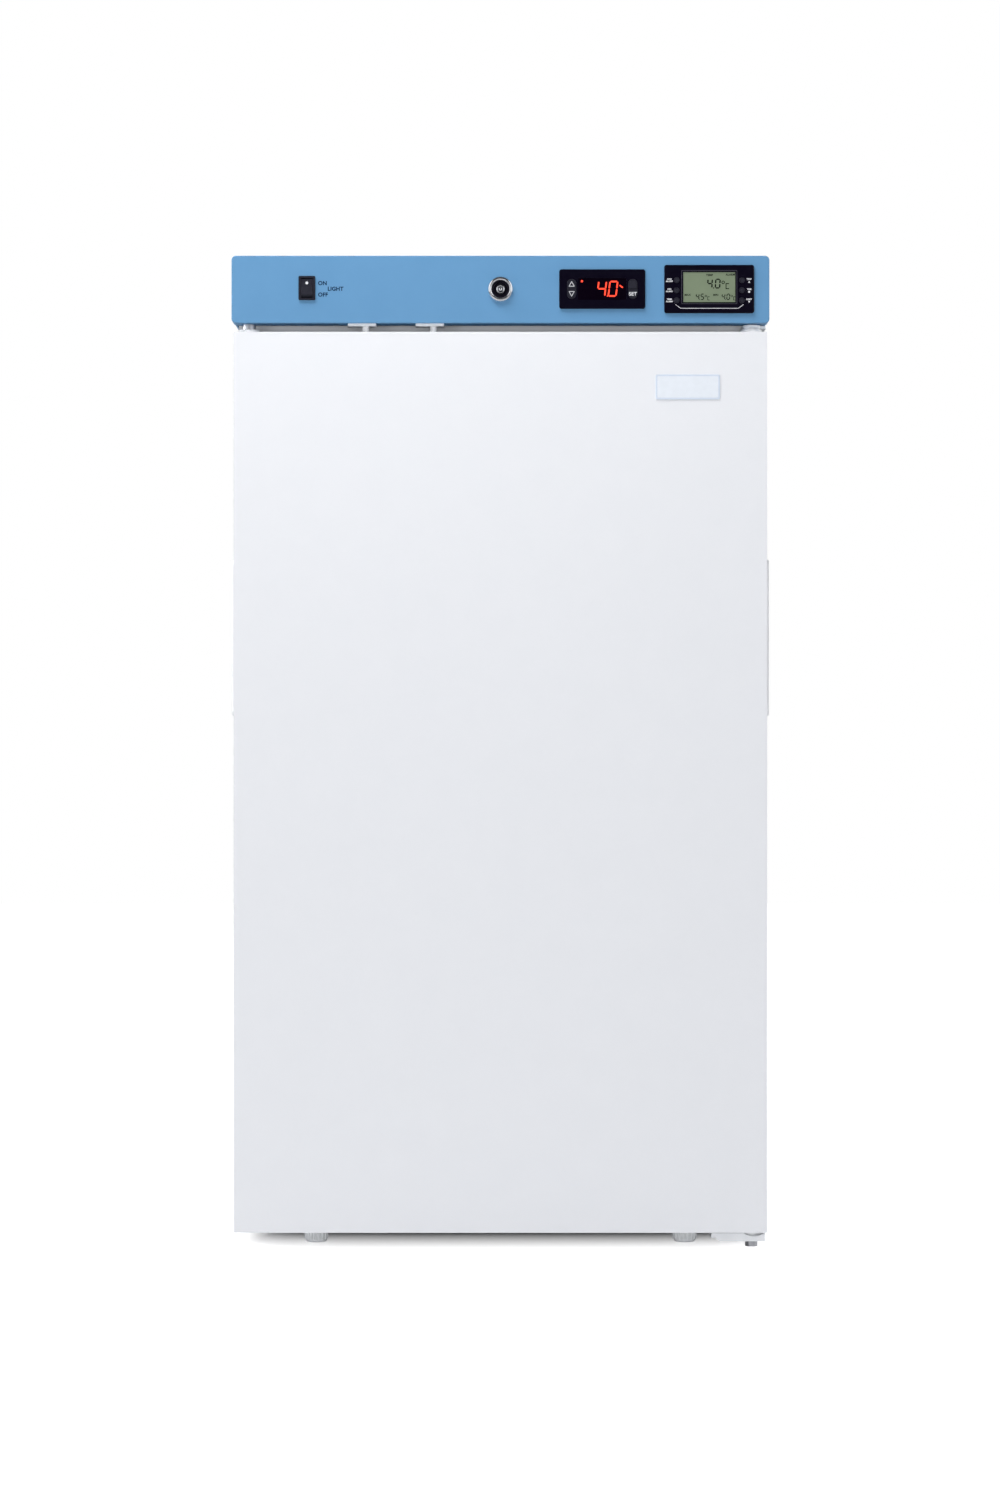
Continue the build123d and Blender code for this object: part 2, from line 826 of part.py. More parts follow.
key_pitch = key_height / 2
key_places = {
    "key_up": (controller_x - key_x, 1),
    "key_down": (controller_x - key_x, -1),
    "key_light": (controller_x + key_x, 1),
    "key_set": (controller_x + key_x, -1),
}
button_places = {
    f"button_{column}_{row}": (alarm_x + side * button_x, panel_mid_z - button_drop - level * button_pitch)
    for column, side in (("left", -1), ("right", 1))
    for row, level in (("top", -1), ("middle", 0), ("bottom", 1))
}

controller_shell = instrument(
    controller_x,
    controller_width,
    controller_height,
    controller_proud,
    controller_body_width,
    controller_body_height,
    controller_body_depth,
)

with BuildPart() as controller_case:
    add(controller_shell)
    with BuildSketch(facing_front(controller_front_y)):
        for side in (-1, 1):
            with Locations((controller_x + side * key_x, panel_mid_z)):
                SlotOverall(key_height + 2 * key_gap, key_width + 2 * key_gap, rotation=90)
    extrude(amount=-well_depth, mode=Mode.SUBTRACT)
    with BuildSketch(facing_front(controller_front_y)):
        with Locations((controller_x, panel_mid_z)):
            Rectangle(display_width, display_height)
    extrude(amount=-(window_sunk + window_sheet), mode=Mode.SUBTRACT)

with BuildPart() as controller_display:
    with BuildSketch(facing_front(controller_front_y + window_sunk)):
        with Locations((controller_x, panel_mid_z)):
            Rectangle(display_width, display_height)
    extrude(amount=-window_sheet)

keys = {}
for node, (x, side) in key_places.items():
    with BuildPart() as key:
        with BuildSketch(facing_front(controller_front_y - key_proud)):
            with Locations((x, panel_mid_z)):
                SlotOverall(key_height, key_width, rotation=90)
            with Locations((x, panel_mid_z - side * (key_pitch / 2 - key_gap / 2))):
                Rectangle(key_width + key_gap, key_pitch + key_gap, mode=Mode.SUBTRACT)
        extrude(amount=-(key_proud + key_seat))
        fillet(key.edges().group_by(Axis.Y)[0], radius=key_proud / 2)
    keys[node] = key

alarm_shell = instrument(
    alarm_x,
    alarm_width,
    alarm_height,
    alarm_proud,
    alarm_body_width,
    alarm_body_height,
    alarm_body_depth,
)

with BuildPart() as alarm_case:
    add(alarm_shell)
    with BuildSketch(facing_front(alarm_front_y)):
        with Locations(*button_places.values()):
            Circle(button_radius + key_gap)
    extrude(amount=-well_depth, mode=Mode.SUBTRACT)
    with BuildSketch(facing_front(alarm_front_y)):
        with Locations((alarm_x, panel_mid_z + lcd_raise)):
            Rectangle(lcd_width, lcd_height)
    extrude(amount=-(window_sunk + window_sheet), mode=Mode.SUBTRACT)

with BuildPart() as alarm_lcd:
    with BuildSketch(facing_front(alarm_front_y + window_sunk)):
        with Locations((alarm_x, panel_mid_z + lcd_raise)):
            Rectangle(lcd_width, lcd_height)
    extrude(amount=-window_sheet)

buttons = {}
for node, place in button_places.items():
    with BuildPart() as button:
        with BuildSketch(facing_front(alarm_front_y - key_proud)):
            with Locations(place):
                Circle(button_radius)
        extrude(amount=-(key_proud + key_seat))
        fillet(button.edges().group_by(Axis.Y)[0], radius=key_proud / 2)
    buttons[node] = button


# Door switches: fixed housings in the panel's bottom flange and plungers that the door pushes up

switch_bore_top_z = panel_bottom_z + switch_body_height - switch_roof
plunger_top_z = switch_bore_top_z - plunger_travel - plunger_top_gap

with BuildPart() as door_switch_housings:
    for x in switch_places:
        with BuildSketch(Plane.XY.offset(panel_bottom_z - switch_bezel_sheet)):
            with Locations((x, lip_mid_y)):
                RectangleRounded(switch_bezel_width, switch_bezel_depth, switch_bezel_corner)
        extrude(amount=switch_bezel_sheet)
        slab(
            (x - switch_body_width / 2 + key_gap, x + switch_body_width / 2 - key_gap),
            (lip_mid_y - switch_body_depth / 2 + key_gap, lip_mid_y + switch_body_depth / 2 - key_gap),
            (panel_bottom_z, panel_bottom_z + switch_body_height),
        )
        bore_x = x + plunger_offset
        round_bar(
            plunger_radius + running_gap,
            (bore_x, lip_mid_y, panel_bottom_z - switch_bezel_sheet),
            (bore_x, lip_mid_y, switch_bore_top_z),
            Mode.SUBTRACT,
        )

plungers = {}
for node, x in zip(("door_switch_plunger_left", "door_switch_plunger_right"), switch_places):
    with BuildPart() as plunger:
        round_bar(
            plunger_radius,
            (x + plunger_offset, lip_mid_y, door_top_z + moving_gap),
            (x + plunger_offset, lip_mid_y, plunger_top_z),
        )
        fillet(plunger.edges().group_by(Axis.Z)[0], radius=plunger_round)
    plungers[node] = plunger


# Hinges

bush_radius = hinge_pin_radius + running_gap + bush_wall
upper_plate_z = door_top_z + door_boss_height + upper_bush_flange + moving_gap
lower_plate_z = door_bottom_z - lower_bush_flange - moving_gap - bracket_sheet


# Screws: each is given by the point where its head seats and the direction in which it faces

leg_low_x = hinge_x - bracket_leg_reach
leg_high_x = cabinet_half - moving_gap
leg_face_y = cabinet_front_y - bracket_sheet
under_bracket_z = foot_height - bracket_sheet
flap_y = cabinet_front_y + panel_overlap / 2
top_hinge_screws = [
    ((hinge_x + dx, leg_face_y, upper_plate_z + top_screw_rise), (0, -1, 0)) for dx in top_screw_places
]
bottom_hinge_screws = [
    ((hinge_x + dx, cabinet_front_y + dy, under_bracket_z), (0, 0, -1)) for dx, dy in bottom_screw_places
]
panel_screws = [
    ((side * panel_half, flap_y, panel_mid_z + dz), (side, 0, 0))
    for side in (-1, 1)
    for dz in (-panel_screw_pitch / 2, panel_screw_pitch / 2)
]
back_screw_levels = (
    bay_top_z + back_screw_from_end,
    (bay_top_z + cabinet_top_z) / 2,
    cabinet_top_z - back_screw_from_end,
)
back_screws = [
    ((side * (cabinet_half - back_screw_from_side), rear_y, z), (0, 1, 0))
    for side in (-1, 1)
    for z in back_screw_levels
]


def drill(places, reach=2 * screw_length):
    """Cut clearance holes for screws through whatever lies along them."""
    for seat, facing in places:
        with Locations(Plane(origin=seat, z_dir=facing)):
            Cylinder(screw_radius + running_gap, reach, mode=Mode.SUBTRACT)


def countersink(places, mode):
    """Add or cut the conical heads that lie flush in a sheet of the panel."""
    for seat, facing in places:
        with Locations(Plane(origin=seat, z_dir=facing)):
            Cone(
                screw_radius,
                screw_radius + panel_sheet,
                panel_sheet,
                align=(Align.CENTER, Align.CENTER, Align.MAX),
                mode=mode,
            )


with BuildPart() as screws:
    for seat, facing in top_hinge_screws + bottom_hinge_screws + back_screws:
        with Locations(Plane(origin=seat, z_dir=facing)):
            Cylinder(screw_head_radius, screw_head_height, align=(Align.CENTER, Align.CENTER, Align.MIN))
    for seat, facing in top_hinge_screws + bottom_hinge_screws + back_screws + panel_screws:
        with Locations(Plane(origin=seat, z_dir=facing)):
            Cylinder(screw_radius, screw_length, align=(Align.CENTER, Align.CENTER, Align.MAX))
    countersink(panel_screws, Mode.ADD)

with BuildPart() as top_hinge_bracket:
    plate_low_x = hinge_x - bracket_eye_radius
    plate_mid_x = (plate_low_x + leg_high_x) / 2
    with BuildSketch(Plane.XY.offset(upper_plate_z)):
        with Locations((hinge_x, hinge_y)):
            Circle(bracket_eye_radius)
        with Locations((plate_mid_x, (hinge_y + cabinet_front_y) / 2)):
            Rectangle(leg_high_x - plate_low_x, cabinet_front_y - hinge_y)
        with Locations((hinge_x, hinge_y)):
            Circle(hinge_pin_radius + running_gap, mode=Mode.SUBTRACT)
    extrude(amount=bracket_sheet)
    slab(
        (leg_low_x, leg_high_x),
        (leg_face_y, cabinet_front_y),
        (upper_plate_z, upper_plate_z + bracket_leg),
    )
    drill(top_hinge_screws)

with BuildPart() as bottom_hinge_bracket:
    bracket_high_x = door_half - bracket_edge
    bracket_low_x = bracket_high_x - bracket_width
    lip_y = front_y + bracket_lip_inset
    lip_low_z = lower_plate_z - bracket_sheet
    lip_high_z = door_bottom_z - 2 * moving_gap
    riser_y = cabinet_front_y - bracket_step
    with BuildSketch(Plane.YZ.offset(bracket_low_x)):
        with BuildLine():
            Polyline(
                (lip_y, lip_low_z),
                (lip_y + bracket_sheet, lip_low_z),
                (lip_y + bracket_sheet, lower_plate_z),
                (riser_y, lower_plate_z),
                (riser_y, under_bracket_z),
                (cabinet_front_y + bracket_reach, under_bracket_z),
                (cabinet_front_y + bracket_reach, foot_height),
                (riser_y - bracket_sheet, foot_height),
                (riser_y - bracket_sheet, lower_plate_z + bracket_sheet),
                (lip_y + bracket_sheet, lower_plate_z + bracket_sheet),
                (lip_y + bracket_sheet, lip_high_z),
                (lip_y, lip_high_z),
                close=True,
            )
        make_face()
    extrude(amount=bracket_width)
    with BuildSketch(facing_front(lip_y)):
        with BuildLine():
            Polyline(
                (bracket_low_x, lip_high_z - bracket_slant_drop),
                (bracket_low_x, lip_low_z),
                (bracket_low_x + bracket_slant, lip_low_z),
                close=True,
            )
        make_face()
        with Locations((hinge_x + scoop_from_hinge, lip_high_z + scoop_radius - scoop_depth)):
            Circle(scoop_radius)
    extrude(amount=-bracket_sheet, mode=Mode.SUBTRACT)
    round_bar(
        hinge_pin_radius + running_gap,
        (hinge_x, hinge_y, lower_plate_z),
        (hinge_x, hinge_y, lower_plate_z + bracket_sheet),
        Mode.SUBTRACT,
    )
    drill(bottom_hinge_screws)

# Top pin, bottom pin with its hexagonal head, and the spare pin parked in the panel's left end
collar_top_z = door_top_z + door_boss_height
pin_top_z = door_bottom_z + door_cap_height - pin_tip_gap
pin_low_z = door_top_z - door_cap_height + pin_tip_gap
upper_seat_z = upper_plate_z + bracket_sheet
spare_low_z = collar_top_z + 2 * moving_gap

with BuildPart() as hinge_pins:
    round_bar(hinge_pin_radius, (hinge_x, hinge_y, pin_low_z), (hinge_x, hinge_y, upper_seat_z))
    round_bar(
        pin_head_radius,
        (hinge_x, hinge_y, upper_seat_z),
        (hinge_x, hinge_y, upper_seat_z + upper_pin_head),
    )
    round_bar(hinge_pin_radius, (hinge_x, hinge_y, lower_plate_z), (hinge_x, hinge_y, pin_top_z))
    with BuildSketch(Plane((hinge_x, hinge_y, lower_plate_z))):
        RegularPolygon(pin_head_radius, 6)
    extrude(amount=-lower_pin_head)
    round_bar(pin_head_radius, (-hinge_x, hinge_y, spare_low_z), (-hinge_x, hinge_y, panel_bottom_z))
    round_bar(
        hinge_pin_radius,
        (-hinge_x, hinge_y, panel_bottom_z),
        (-hinge_x, hinge_y, panel_bottom_z + spare_pin_shaft),
    )

# Bushes in the door's caps with raised collars. The upper left one is a blank.
with BuildPart() as hinge_bushes:
    for x in (-hinge_x, hinge_x):
        round_bar(bush_radius, (x, hinge_y, door_top_z - door_cap_height), (x, hinge_y, door_top_z))
        round_bar(door_boss_radius, (x, hinge_y, door_top_z), (x, hinge_y, collar_top_z))
    round_bar(
        bush_flange_radius,
        (hinge_x, hinge_y, collar_top_z),
        (hinge_x, hinge_y, collar_top_z + upper_bush_flange),
    )
    round_bar(
        bush_flange_radius,
        (hinge_x, hinge_y, door_bottom_z - lower_bush_flange),
        (hinge_x, hinge_y, door_bottom_z),
    )
    round_bar(
        bush_radius,
        (hinge_x, hinge_y, door_bottom_z),
        (hinge_x, hinge_y, door_bottom_z + door_cap_height),
    )
    round_bar(
        hinge_pin_radius + running_gap,
        (hinge_x, hinge_y, door_bottom_z - door_cap_height),
        (hinge_x, hinge_y, door_top_z + door_cap_height),
        Mode.SUBTRACT,
    )

for sheet in (cabinet_wrap, back_panel, base_pan, cabinet_foam):
    with sheet:
        drill(top_hinge_screws + bottom_hinge_screws + panel_screws + back_screws)
with control_panel:
    drill(panel_screws)
    countersink(panel_screws, Mode.SUBTRACT)


# Door

handle_y = front_y + door_thickness / 2
handle_z = door_bottom_z + handle_from_bottom


def facing_back(y):
    """A plane at depth y that faces the back, with local y up."""
    return Plane(origin=(0, y, 0), x_dir=(-1, 0, 0), z_dir=(0, 1, 0))


def handle_body(side, margin, depth):
    """The block that one handle's pocket takes up in the door, margin larger all round."""
    reach = side * (door_half - depth)
    edge = side * (door_half + margin)
    slab(
        (min(reach, edge), max(reach, edge)),
        (handle_y - handle_pocket_width / 2 - margin, handle_y + handle_pocket_width / 2 + margin),
        (handle_z - handle_pocket_height / 2 - margin, handle_z + handle_pocket_height / 2 + margin),
        Mode.SUBTRACT,
    )


def dyke_form(skin):
    """The raised frame on the door's inner face, or what lies skin inside it."""
    middle_z = (dyke_bottom_z + dyke_top_z) / 2
    half_height = (dyke_top_z - dyke_bottom_z) / 2
    floor_y = dyke_tip_y - door_panel_recess - skin
    with BuildPart() as form:
        with BuildSketch(facing_back(door_back_y - door_liner_wall)):
            with Locations((0, middle_z)):
                Rectangle(2 * (dyke_half - skin), 2 * (half_height - skin))
        extrude(amount=dyke_height + door_liner_wall - skin, taper=dyke_taper)
        with BuildSketch(facing_back(floor_y)):
            with Locations((0, middle_z)):
                Rectangle(2 * (dyke_half - dyke_width + skin), 2 * (half_height - dyke_width + skin))
        extrude(amount=2 * dyke_height, taper=-dyke_taper, mode=Mode.SUBTRACT)
    return form.part


dyke_outside = dyke_form(0)
dyke_inside = dyke_form(door_liner_wall)

with BuildPart() as door_skin:
    inner_back_y = door_back_y - door_sheet
    with BuildSketch(Plane.XY.offset(door_bottom_z)):
        with Locations((0, (front_y + door_back_y) / 2)):
            Rectangle(2 * door_half, door_thickness)
            Rectangle(2 * (door_half - door_sheet), door_thickness - 2 * door_sheet, mode=Mode.SUBTRACT)
        with Locations((0, inner_back_y)):
            Rectangle(2 * (door_half - door_return), 4 * door_sheet, mode=Mode.SUBTRACT)
    extrude(amount=door_height)
    for side in (-1, 1):
        handle_body(side, handle_wall, 2 * door_return)

with BuildPart() as door_top_cap:
    cap_low_z = door_top_z - door_cap_height
    cam_reach = sqrt(cam_length**2 + (cam_width / 2) ** 2)
    slot_low_x = -sqrt(cam_reach**2 - (lock_z - door_top_z) ** 2) - cam_gap
    slab(
        (-door_half + door_sheet, door_half - door_sheet),
        (front_y + door_sheet, door_back_y - door_liner_wall),
        (cap_low_z, door_top_z),
    )
    slab(
        (slot_low_x, cam_width / 2 + cam_gap),
        (cam_front_y - cam_gap, cam_front_y + cam_sheet + cam_gap),
        (lock_z - cam_reach - cam_floor_gap, door_top_z),
        Mode.SUBTRACT,
    )
    for x in (-hinge_x, hinge_x):
        round_bar(bush_radius, (x, hinge_y, cap_low_z), (x, hinge_y, door_top_z), Mode.SUBTRACT)

with BuildPart() as door_bottom_cap:
    slab(
        (-door_half + door_sheet, door_half - door_sheet),
        (front_y + door_sheet, door_back_y - door_liner_wall),
        (door_bottom_z, door_bottom_z + door_cap_height),
    )
    round_bar(
        bush_radius,
        (hinge_x, hinge_y, door_bottom_z),
        (hinge_x, hinge_y, door_bottom_z + door_cap_height),
        Mode.SUBTRACT,
    )

with BuildPart() as door_foam:
    slab(
        (-door_half + door_sheet, door_half - door_sheet),
        (front_y + door_sheet, door_back_y - door_liner_wall),
        (door_bottom_z + door_cap_height, door_top_z - door_cap_height),
    )
    for side in (-1, 1):
        handle_body(side, handle_wall, handle_pocket_depth + handle_wall)
    add(dyke_inside)

with BuildPart() as door_liner:
    slab(
        (-door_half + door_return + moving_gap, door_half - door_return - moving_gap),
        (door_back_y - door_liner_wall, door_back_y),
        (door_bottom_z, door_top_z),
    )
    add(dyke_outside)
    add(dyke_inside, mode=Mode.SUBTRACT)

gasket_lip = gasket_space - moving_gap - gasket_foot - gasket_neck
gasket_steps = (
    (0.0, gasket_width, gasket_foot),
    (gasket_neck_inset, gasket_width - 2 * gasket_neck_inset, gasket_neck),
    (gasket_lip_inset, gasket_width - 2 * gasket_lip_inset, gasket_lip),
)
with BuildPart() as door_gasket:
    step_y = door_back_y
    for inset, width, depth in gasket_steps:
        half_x = door_half - gasket_inset - inset
        half_z = door_height / 2 - gasket_inset - inset
        with BuildSketch(facing_front(step_y)):
            with Locations((0, door_mid_z)):
                Rectangle(2 * half_x, 2 * half_z)
                Rectangle(2 * (half_x - width), 2 * (half_z - width), mode=Mode.SUBTRACT)
        extrude(amount=-depth)
        step_y += depth

with BuildPart() as door_handles:
    for side in (-1, 1):
        with BuildSketch(Plane.YZ.offset(side * door_half)):
            with Locations((handle_y, handle_z)):
                RectangleRounded(handle_flange_width, handle_height, handle_corner)
        extrude(amount=side * handle_proud)
        with BuildSketch(Plane.YZ.offset(side * door_half)):
            with Locations((handle_y, handle_z)):
                Rectangle(handle_pocket_width + 2 * handle_wall, handle_pocket_height + 2 * handle_wall)
        extrude(amount=-side * (handle_pocket_depth + handle_wall))
        outer_rim = door_handles.edges().group_by(Axis.X)[-1 if side > 0 else 0]
        fillet(outer_rim, radius=handle_proud / 2)
        with BuildSketch(Plane.YZ.offset(side * (door_half + handle_proud))):
            with Locations((handle_y, handle_z)):
                RectangleRounded(handle_pocket_width, handle_pocket_height, handle_pocket_corner)
        extrude(amount=-side * (handle_pocket_depth + handle_proud), mode=Mode.SUBTRACT)


# Shelves of welded wire

shelf_half = cavity_half - shelf_side_gap - frame_rod / 2
shelf_front_y = dyke_tip_y + shelf_travel + shelf_stop_gap + frame_rod / 2
shelf_back_y = duct_front_y - shelf_back_gap - frame_rod / 2
shelves = {}
for index, node in enumerate(("shelf_lower", "shelf_middle", "shelf_upper")[:shelf_count]):
    rod_z = first_ledge_z + index * shelf_every * ledge_pitch + moving_gap + frame_rod / 2
    wire_z = rod_z + (frame_rod + shelf_wire) / 2 - weld_depth
    middle_y = (shelf_front_y + shelf_back_y) / 2
    with BuildPart() as shelf:
        with BuildLine() as frame_line:
            FilletPolyline(
                (shelf_half, shelf_front_y, rod_z),
                (shelf_half, shelf_back_y, rod_z),
                (-shelf_half, shelf_back_y, rod_z),
                (-shelf_half, shelf_front_y, rod_z),
                close=True,
                radius=frame_bend,
            )
        with BuildSketch(Plane(origin=frame_line.line @ 0, z_dir=frame_line.line % 0)):
            Circle(frame_rod / 2)
        sweep()
        cross_z = rod_z + (frame_rod - cross_rod) / 2
        round_bar(cross_rod / 2, (-shelf_half, middle_y, cross_z), (shelf_half, middle_y, cross_z))
        wire_pitch = 2 * shelf_half / (wire_count + 1)
        with Locations(Plane((0, middle_y, wire_z))):
            with GridLocations(wire_pitch, 1, wire_count, 1):
                Cylinder(shelf_wire / 2, shelf_back_y - shelf_front_y, rotation=(90, 0, 0))
    shelves[node] = shelf


# Air duct, evaporator and fan

fan_plane = Plane(origin=(0, duct_front_y + duct_wall, fan_z), x_dir=(1, 0, 0), z_dir=(0, -1, 0))
rotor_front_y = duct_front_y + duct_wall + fan_tip_gap
motor_front_y = rotor_front_y + rotor_depth + fan_tip_gap

with BuildPart() as air_duct_cover:
    slab(
        (-duct_half, duct_half),
        (duct_front_y, cavity_back_y),
        (duct_bottom_z, duct_top_z),
    )
    slab(
        (-duct_half + duct_wall, duct_half - duct_wall),
        (duct_front_y + duct_wall, cavity_back_y),
        (duct_bottom_z + duct_wall, duct_top_z - duct_wall),
        Mode.SUBTRACT,
    )
    slot_length = fan_radius - fan_hub_radius - 2 * grille_margin
    slot_radius = (fan_radius + fan_hub_radius) / 2 + grille_margin
    with BuildSketch(fan_plane):
        with PolarLocations(slot_radius, grille_slots):
            Rectangle(slot_length, grille_slot_width)
        with Locations((0, duct_bottom_z + vent_rise - fan_z)):
            with GridLocations(1, vent_pitch, 1, vent_rows):
                Rectangle(2 * (duct_half - vent_from_side), vent_slot_width)
    extrude(amount=2 * duct_wall, both=True, mode=Mode.SUBTRACT)

with BuildPart() as fan_motor:
    round_bar(fan_hub_radius, (0, motor_front_y, fan_z), (0, cavity_back_y, fan_z))
    round_bar(motor_flange_radius, (0, cavity_back_y - duct_wall, fan_z), (0, cavity_back_y, fan_z))
    round_bar(shaft_radius, (0, motor_front_y - rotor_depth, fan_z), (0, motor_front_y, fan_z))

with BuildPart() as fan_blade:
    with BuildSketch(Plane.YZ.offset(fan_hub_radius - blade_root_overlap)):
        Rectangle(blade_sheet, blade_root_width, rotation=blade_root_angle)
    with BuildSketch(Plane.YZ.offset(fan_radius - fan_tip_gap)):
        Rectangle(blade_sheet, blade_tip_width, rotation=blade_tip_angle)
    loft()

with BuildPart(Plane(origin=(0, rotor_front_y, fan_z), x_dir=(1, 0, 0), z_dir=(0, 1, 0))) as fan_rotor:
    Cylinder(fan_hub_radius, rotor_depth, align=(Align.CENTER, Align.CENTER, Align.MIN))
    with Locations((0, 0, rotor_depth / 2)):
        with PolarLocations(0, fan_blades):
            add(fan_blade.part, rotation=(0, 0, 0))
    with Locations((0, 0, rotor_cap)):
        Cylinder(
            shaft_radius + running_gap,
            rotor_depth,
            align=(Align.CENTER, Align.CENTER, Align.MIN),
            mode=Mode.SUBTRACT,
        )

coil_front_y = duct_front_y + duct_wall + coil_from_cover
coil_low_z = duct_bottom_z + duct_gap
coil_height = fan_z - fan_radius - coil_below_fan - coil_low_z
coil_width = 2 * (duct_half - coil_from_side)
with BuildPart() as evaporator:
    fin_pitch = coil_width / (coil_fins - 1)
    tube_y = coil_front_y + coil_depth / 2
    level_gap = coil_height / coil_passes
    turns = []
    for level in range(coil_passes):
        side = -1 if level % 2 else 1
        z = coil_low_z + (level + 0.5) * level_gap
        reach = coil_width / 2 + level_gap / 2
        turns += [(-side * reach, tube_y, z), (side * reach, tube_y, z)]
    with BuildLine():
        FilletPolyline(*turns, radius=0.49 * level_gap)
    with BuildSketch(Plane(origin=turns[0], z_dir=(1, 0, 0))):
        Circle(coil_tube / 2)
    sweep()
    with Locations((0, tube_y, coil_low_z + coil_height / 2)):
        with GridLocations(fin_pitch, 1, coil_fins, 1):
            Box(fin_sheet, coil_depth, coil_height)
    for side in (-1, 1):
        plate_x = side * (coil_width / 2)
        slab(
            (plate_x - fin_sheet / 2, plate_x + fin_sheet / 2),
            (coil_front_y, cavity_back_y),
            (coil_low_z, coil_low_z + coil_height),
        )


# Lamp and temperature probe

lamp_front_y = cabinet_front_y + lamp_from_front
with BuildPart() as lamp_base:
    slab(
        (-lamp_length / 2, lamp_length / 2),
        (lamp_front_y, lamp_front_y + lamp_width),
        (cavity_top_z - lamp_base_height, cavity_top_z),
    )
    chamfer(lamp_base.edges().group_by(Axis.Z)[0], length=lamp_base_chamfer)

with BuildPart() as lamp_lens:
    with BuildSketch(Plane.XY.offset(cavity_top_z - lamp_base_height)):
        with Locations((0, lamp_front_y + lamp_width / 2)):
            RectangleRounded(
                lamp_length - 2 * lens_end_margin,
                lamp_width - 2 * lens_side_margin,
                lens_corner,
            )
    extrude(amount=-lamp_lens_height)
    fillet(lamp_lens.edges().group_by(Axis.Z)[0], radius=lens_round)

bottle_x = cavity_half - bottle_from_side
bottle_y = duct_front_y - bottle_radius - bottle_to_duct
lead_z = duct_top_z - lead_below_duct_top
cap_z = lead_z - lead_rise - bottle_cap_height
bottle_low_z = cap_z - bottle_height
with BuildPart() as probe_bottle:
    round_bar(bottle_radius, (bottle_x, bottle_y, bottle_low_z), (bottle_x, bottle_y, cap_z))
    fillet(probe_bottle.edges().group_by(Axis.Z)[0], radius=bottle_round)
    round_bar(
        bottle_cap_radius,
        (bottle_x, bottle_y, cap_z),
        (bottle_x, bottle_y, cap_z + bottle_cap_height),
    )
    with BuildLine():
        FilletPolyline(
            (bottle_x, bottle_y, cap_z + probe_seat),
            (bottle_x, bottle_y, lead_z),
            (bottle_x, duct_front_y, lead_z),
            radius=lead_bend,
        )
    with BuildSketch(Plane((bottle_x, bottle_y, cap_z + probe_seat))):
        Circle(probe_radius)
    sweep()
    slab(
        (bottle_x - bottle_clip_width / 2, bottle_x + bottle_clip_width / 2),
        (bottle_y + bottle_radius - bottle_clip_overlap, duct_front_y),
        (bottle_low_z + bottle_clip_margin, cap_z - bottle_clip_margin),
    )


# Compressor bay

compressor_x = -compressor_offset
compressor_y = (bay_front_y + bay_slope / 2 + rear_y) / 2
plate_z = base_top_z + grommet_height
shell_z = plate_z + mount_plate
shell_top_z = shell_z + shell_height
mount_places = [
    (compressor_x + dx * mount_length_pitch / 2, compressor_y + dy * mount_width_pitch / 2)
    for dx in (-1, 1)
    for dy in (-1, 1)
]

with BuildPart() as compressor:
    with BuildSketch(Plane.XY.offset(plate_z)):
        with Locations((compressor_x, compressor_y)):
            RectangleRounded(mount_plate_length, mount_plate_width, mount_plate_corner)
        with Locations(*mount_places):
            Circle(grommet_neck_radius + running_gap, mode=Mode.SUBTRACT)
    extrude(amount=mount_plate)
    with BuildSketch(Plane.XY.offset(shell_z)):
        with Locations((compressor_x, compressor_y)):
            Ellipse(shell_length / 2, shell_width / 2)
    extrude(amount=shell_height)
    fillet(compressor.edges().group_by(Axis.Z)[-1], radius=shell_crown)
    with BuildSketch(Plane.XY.offset(shell_z + shell_height / 2)):
        with Locations((compressor_x, compressor_y)):
            Ellipse(shell_length / 2 + seam_proud, shell_width / 2 + seam_proud)
    extrude(amount=seam_height)
    relay_low_x = compressor_x + shell_length / 2 - relay_overlap
    slab(
        (relay_low_x, relay_low_x + relay_length),
        (compressor_y - relay_width / 2, compressor_y + relay_width / 2),
        (shell_z + relay_rise, shell_z + relay_rise + relay_height),
    )

with BuildPart() as compressor_mounts:
    for x, y in mount_places:
        round_bar(grommet_radius, (x, y, base_top_z), (x, y, plate_z))
        round_bar(grommet_neck_radius, (x, y, plate_z), (x, y, plate_z + mount_plate + grommet_lip))

with BuildPart() as drip_tray:
    tray_high_z = shell_top_z + tray_height
    slab(
        (compressor_x - tray_length / 2, compressor_x + tray_length / 2),
        (compressor_y - tray_width / 2, compressor_y + tray_width / 2),
        (shell_top_z, tray_high_z),
    )
    slab(
        (compressor_x - tray_length / 2 + tray_wall, compressor_x + tray_length / 2 - tray_wall),
        (compressor_y - tray_width / 2 + tray_wall, compressor_y + tray_width / 2 - tray_wall),
        (shell_top_z + tray_wall, tray_high_z),
        Mode.SUBTRACT,
    )

# The pipe that leaves the shell, the drier on it and the end in the bay's side wall
with BuildPart() as refrigerant_pipes:
    pipe_start_x = compressor_x + shell_length / 2
    pipe_x = pipe_start_x + pipe_reach
    bay_side_x = cabinet_half - cabinet_sheet
    discharge_z = shell_z + discharge_rise
    liquid_z = shell_z + liquid_rise
    drier_low_z = shell_z + drier_rise
    with BuildLine():
        FilletPolyline(
            (pipe_start_x, compressor_y, discharge_z),
            (pipe_x, compressor_y, discharge_z),
            (pipe_x, compressor_y, liquid_z),
            (bay_side_x, compressor_y, liquid_z),
            radius=pipe_bend,
        )
    with BuildSketch(Plane(origin=(pipe_start_x, compressor_y, discharge_z), z_dir=(1, 0, 0))):
        Circle(pipe_radius)
    sweep()
    round_bar(
        drier_radius,
        (pipe_x, compressor_y, drier_low_z),
        (pipe_x, compressor_y, drier_low_z + drier_length),
    )

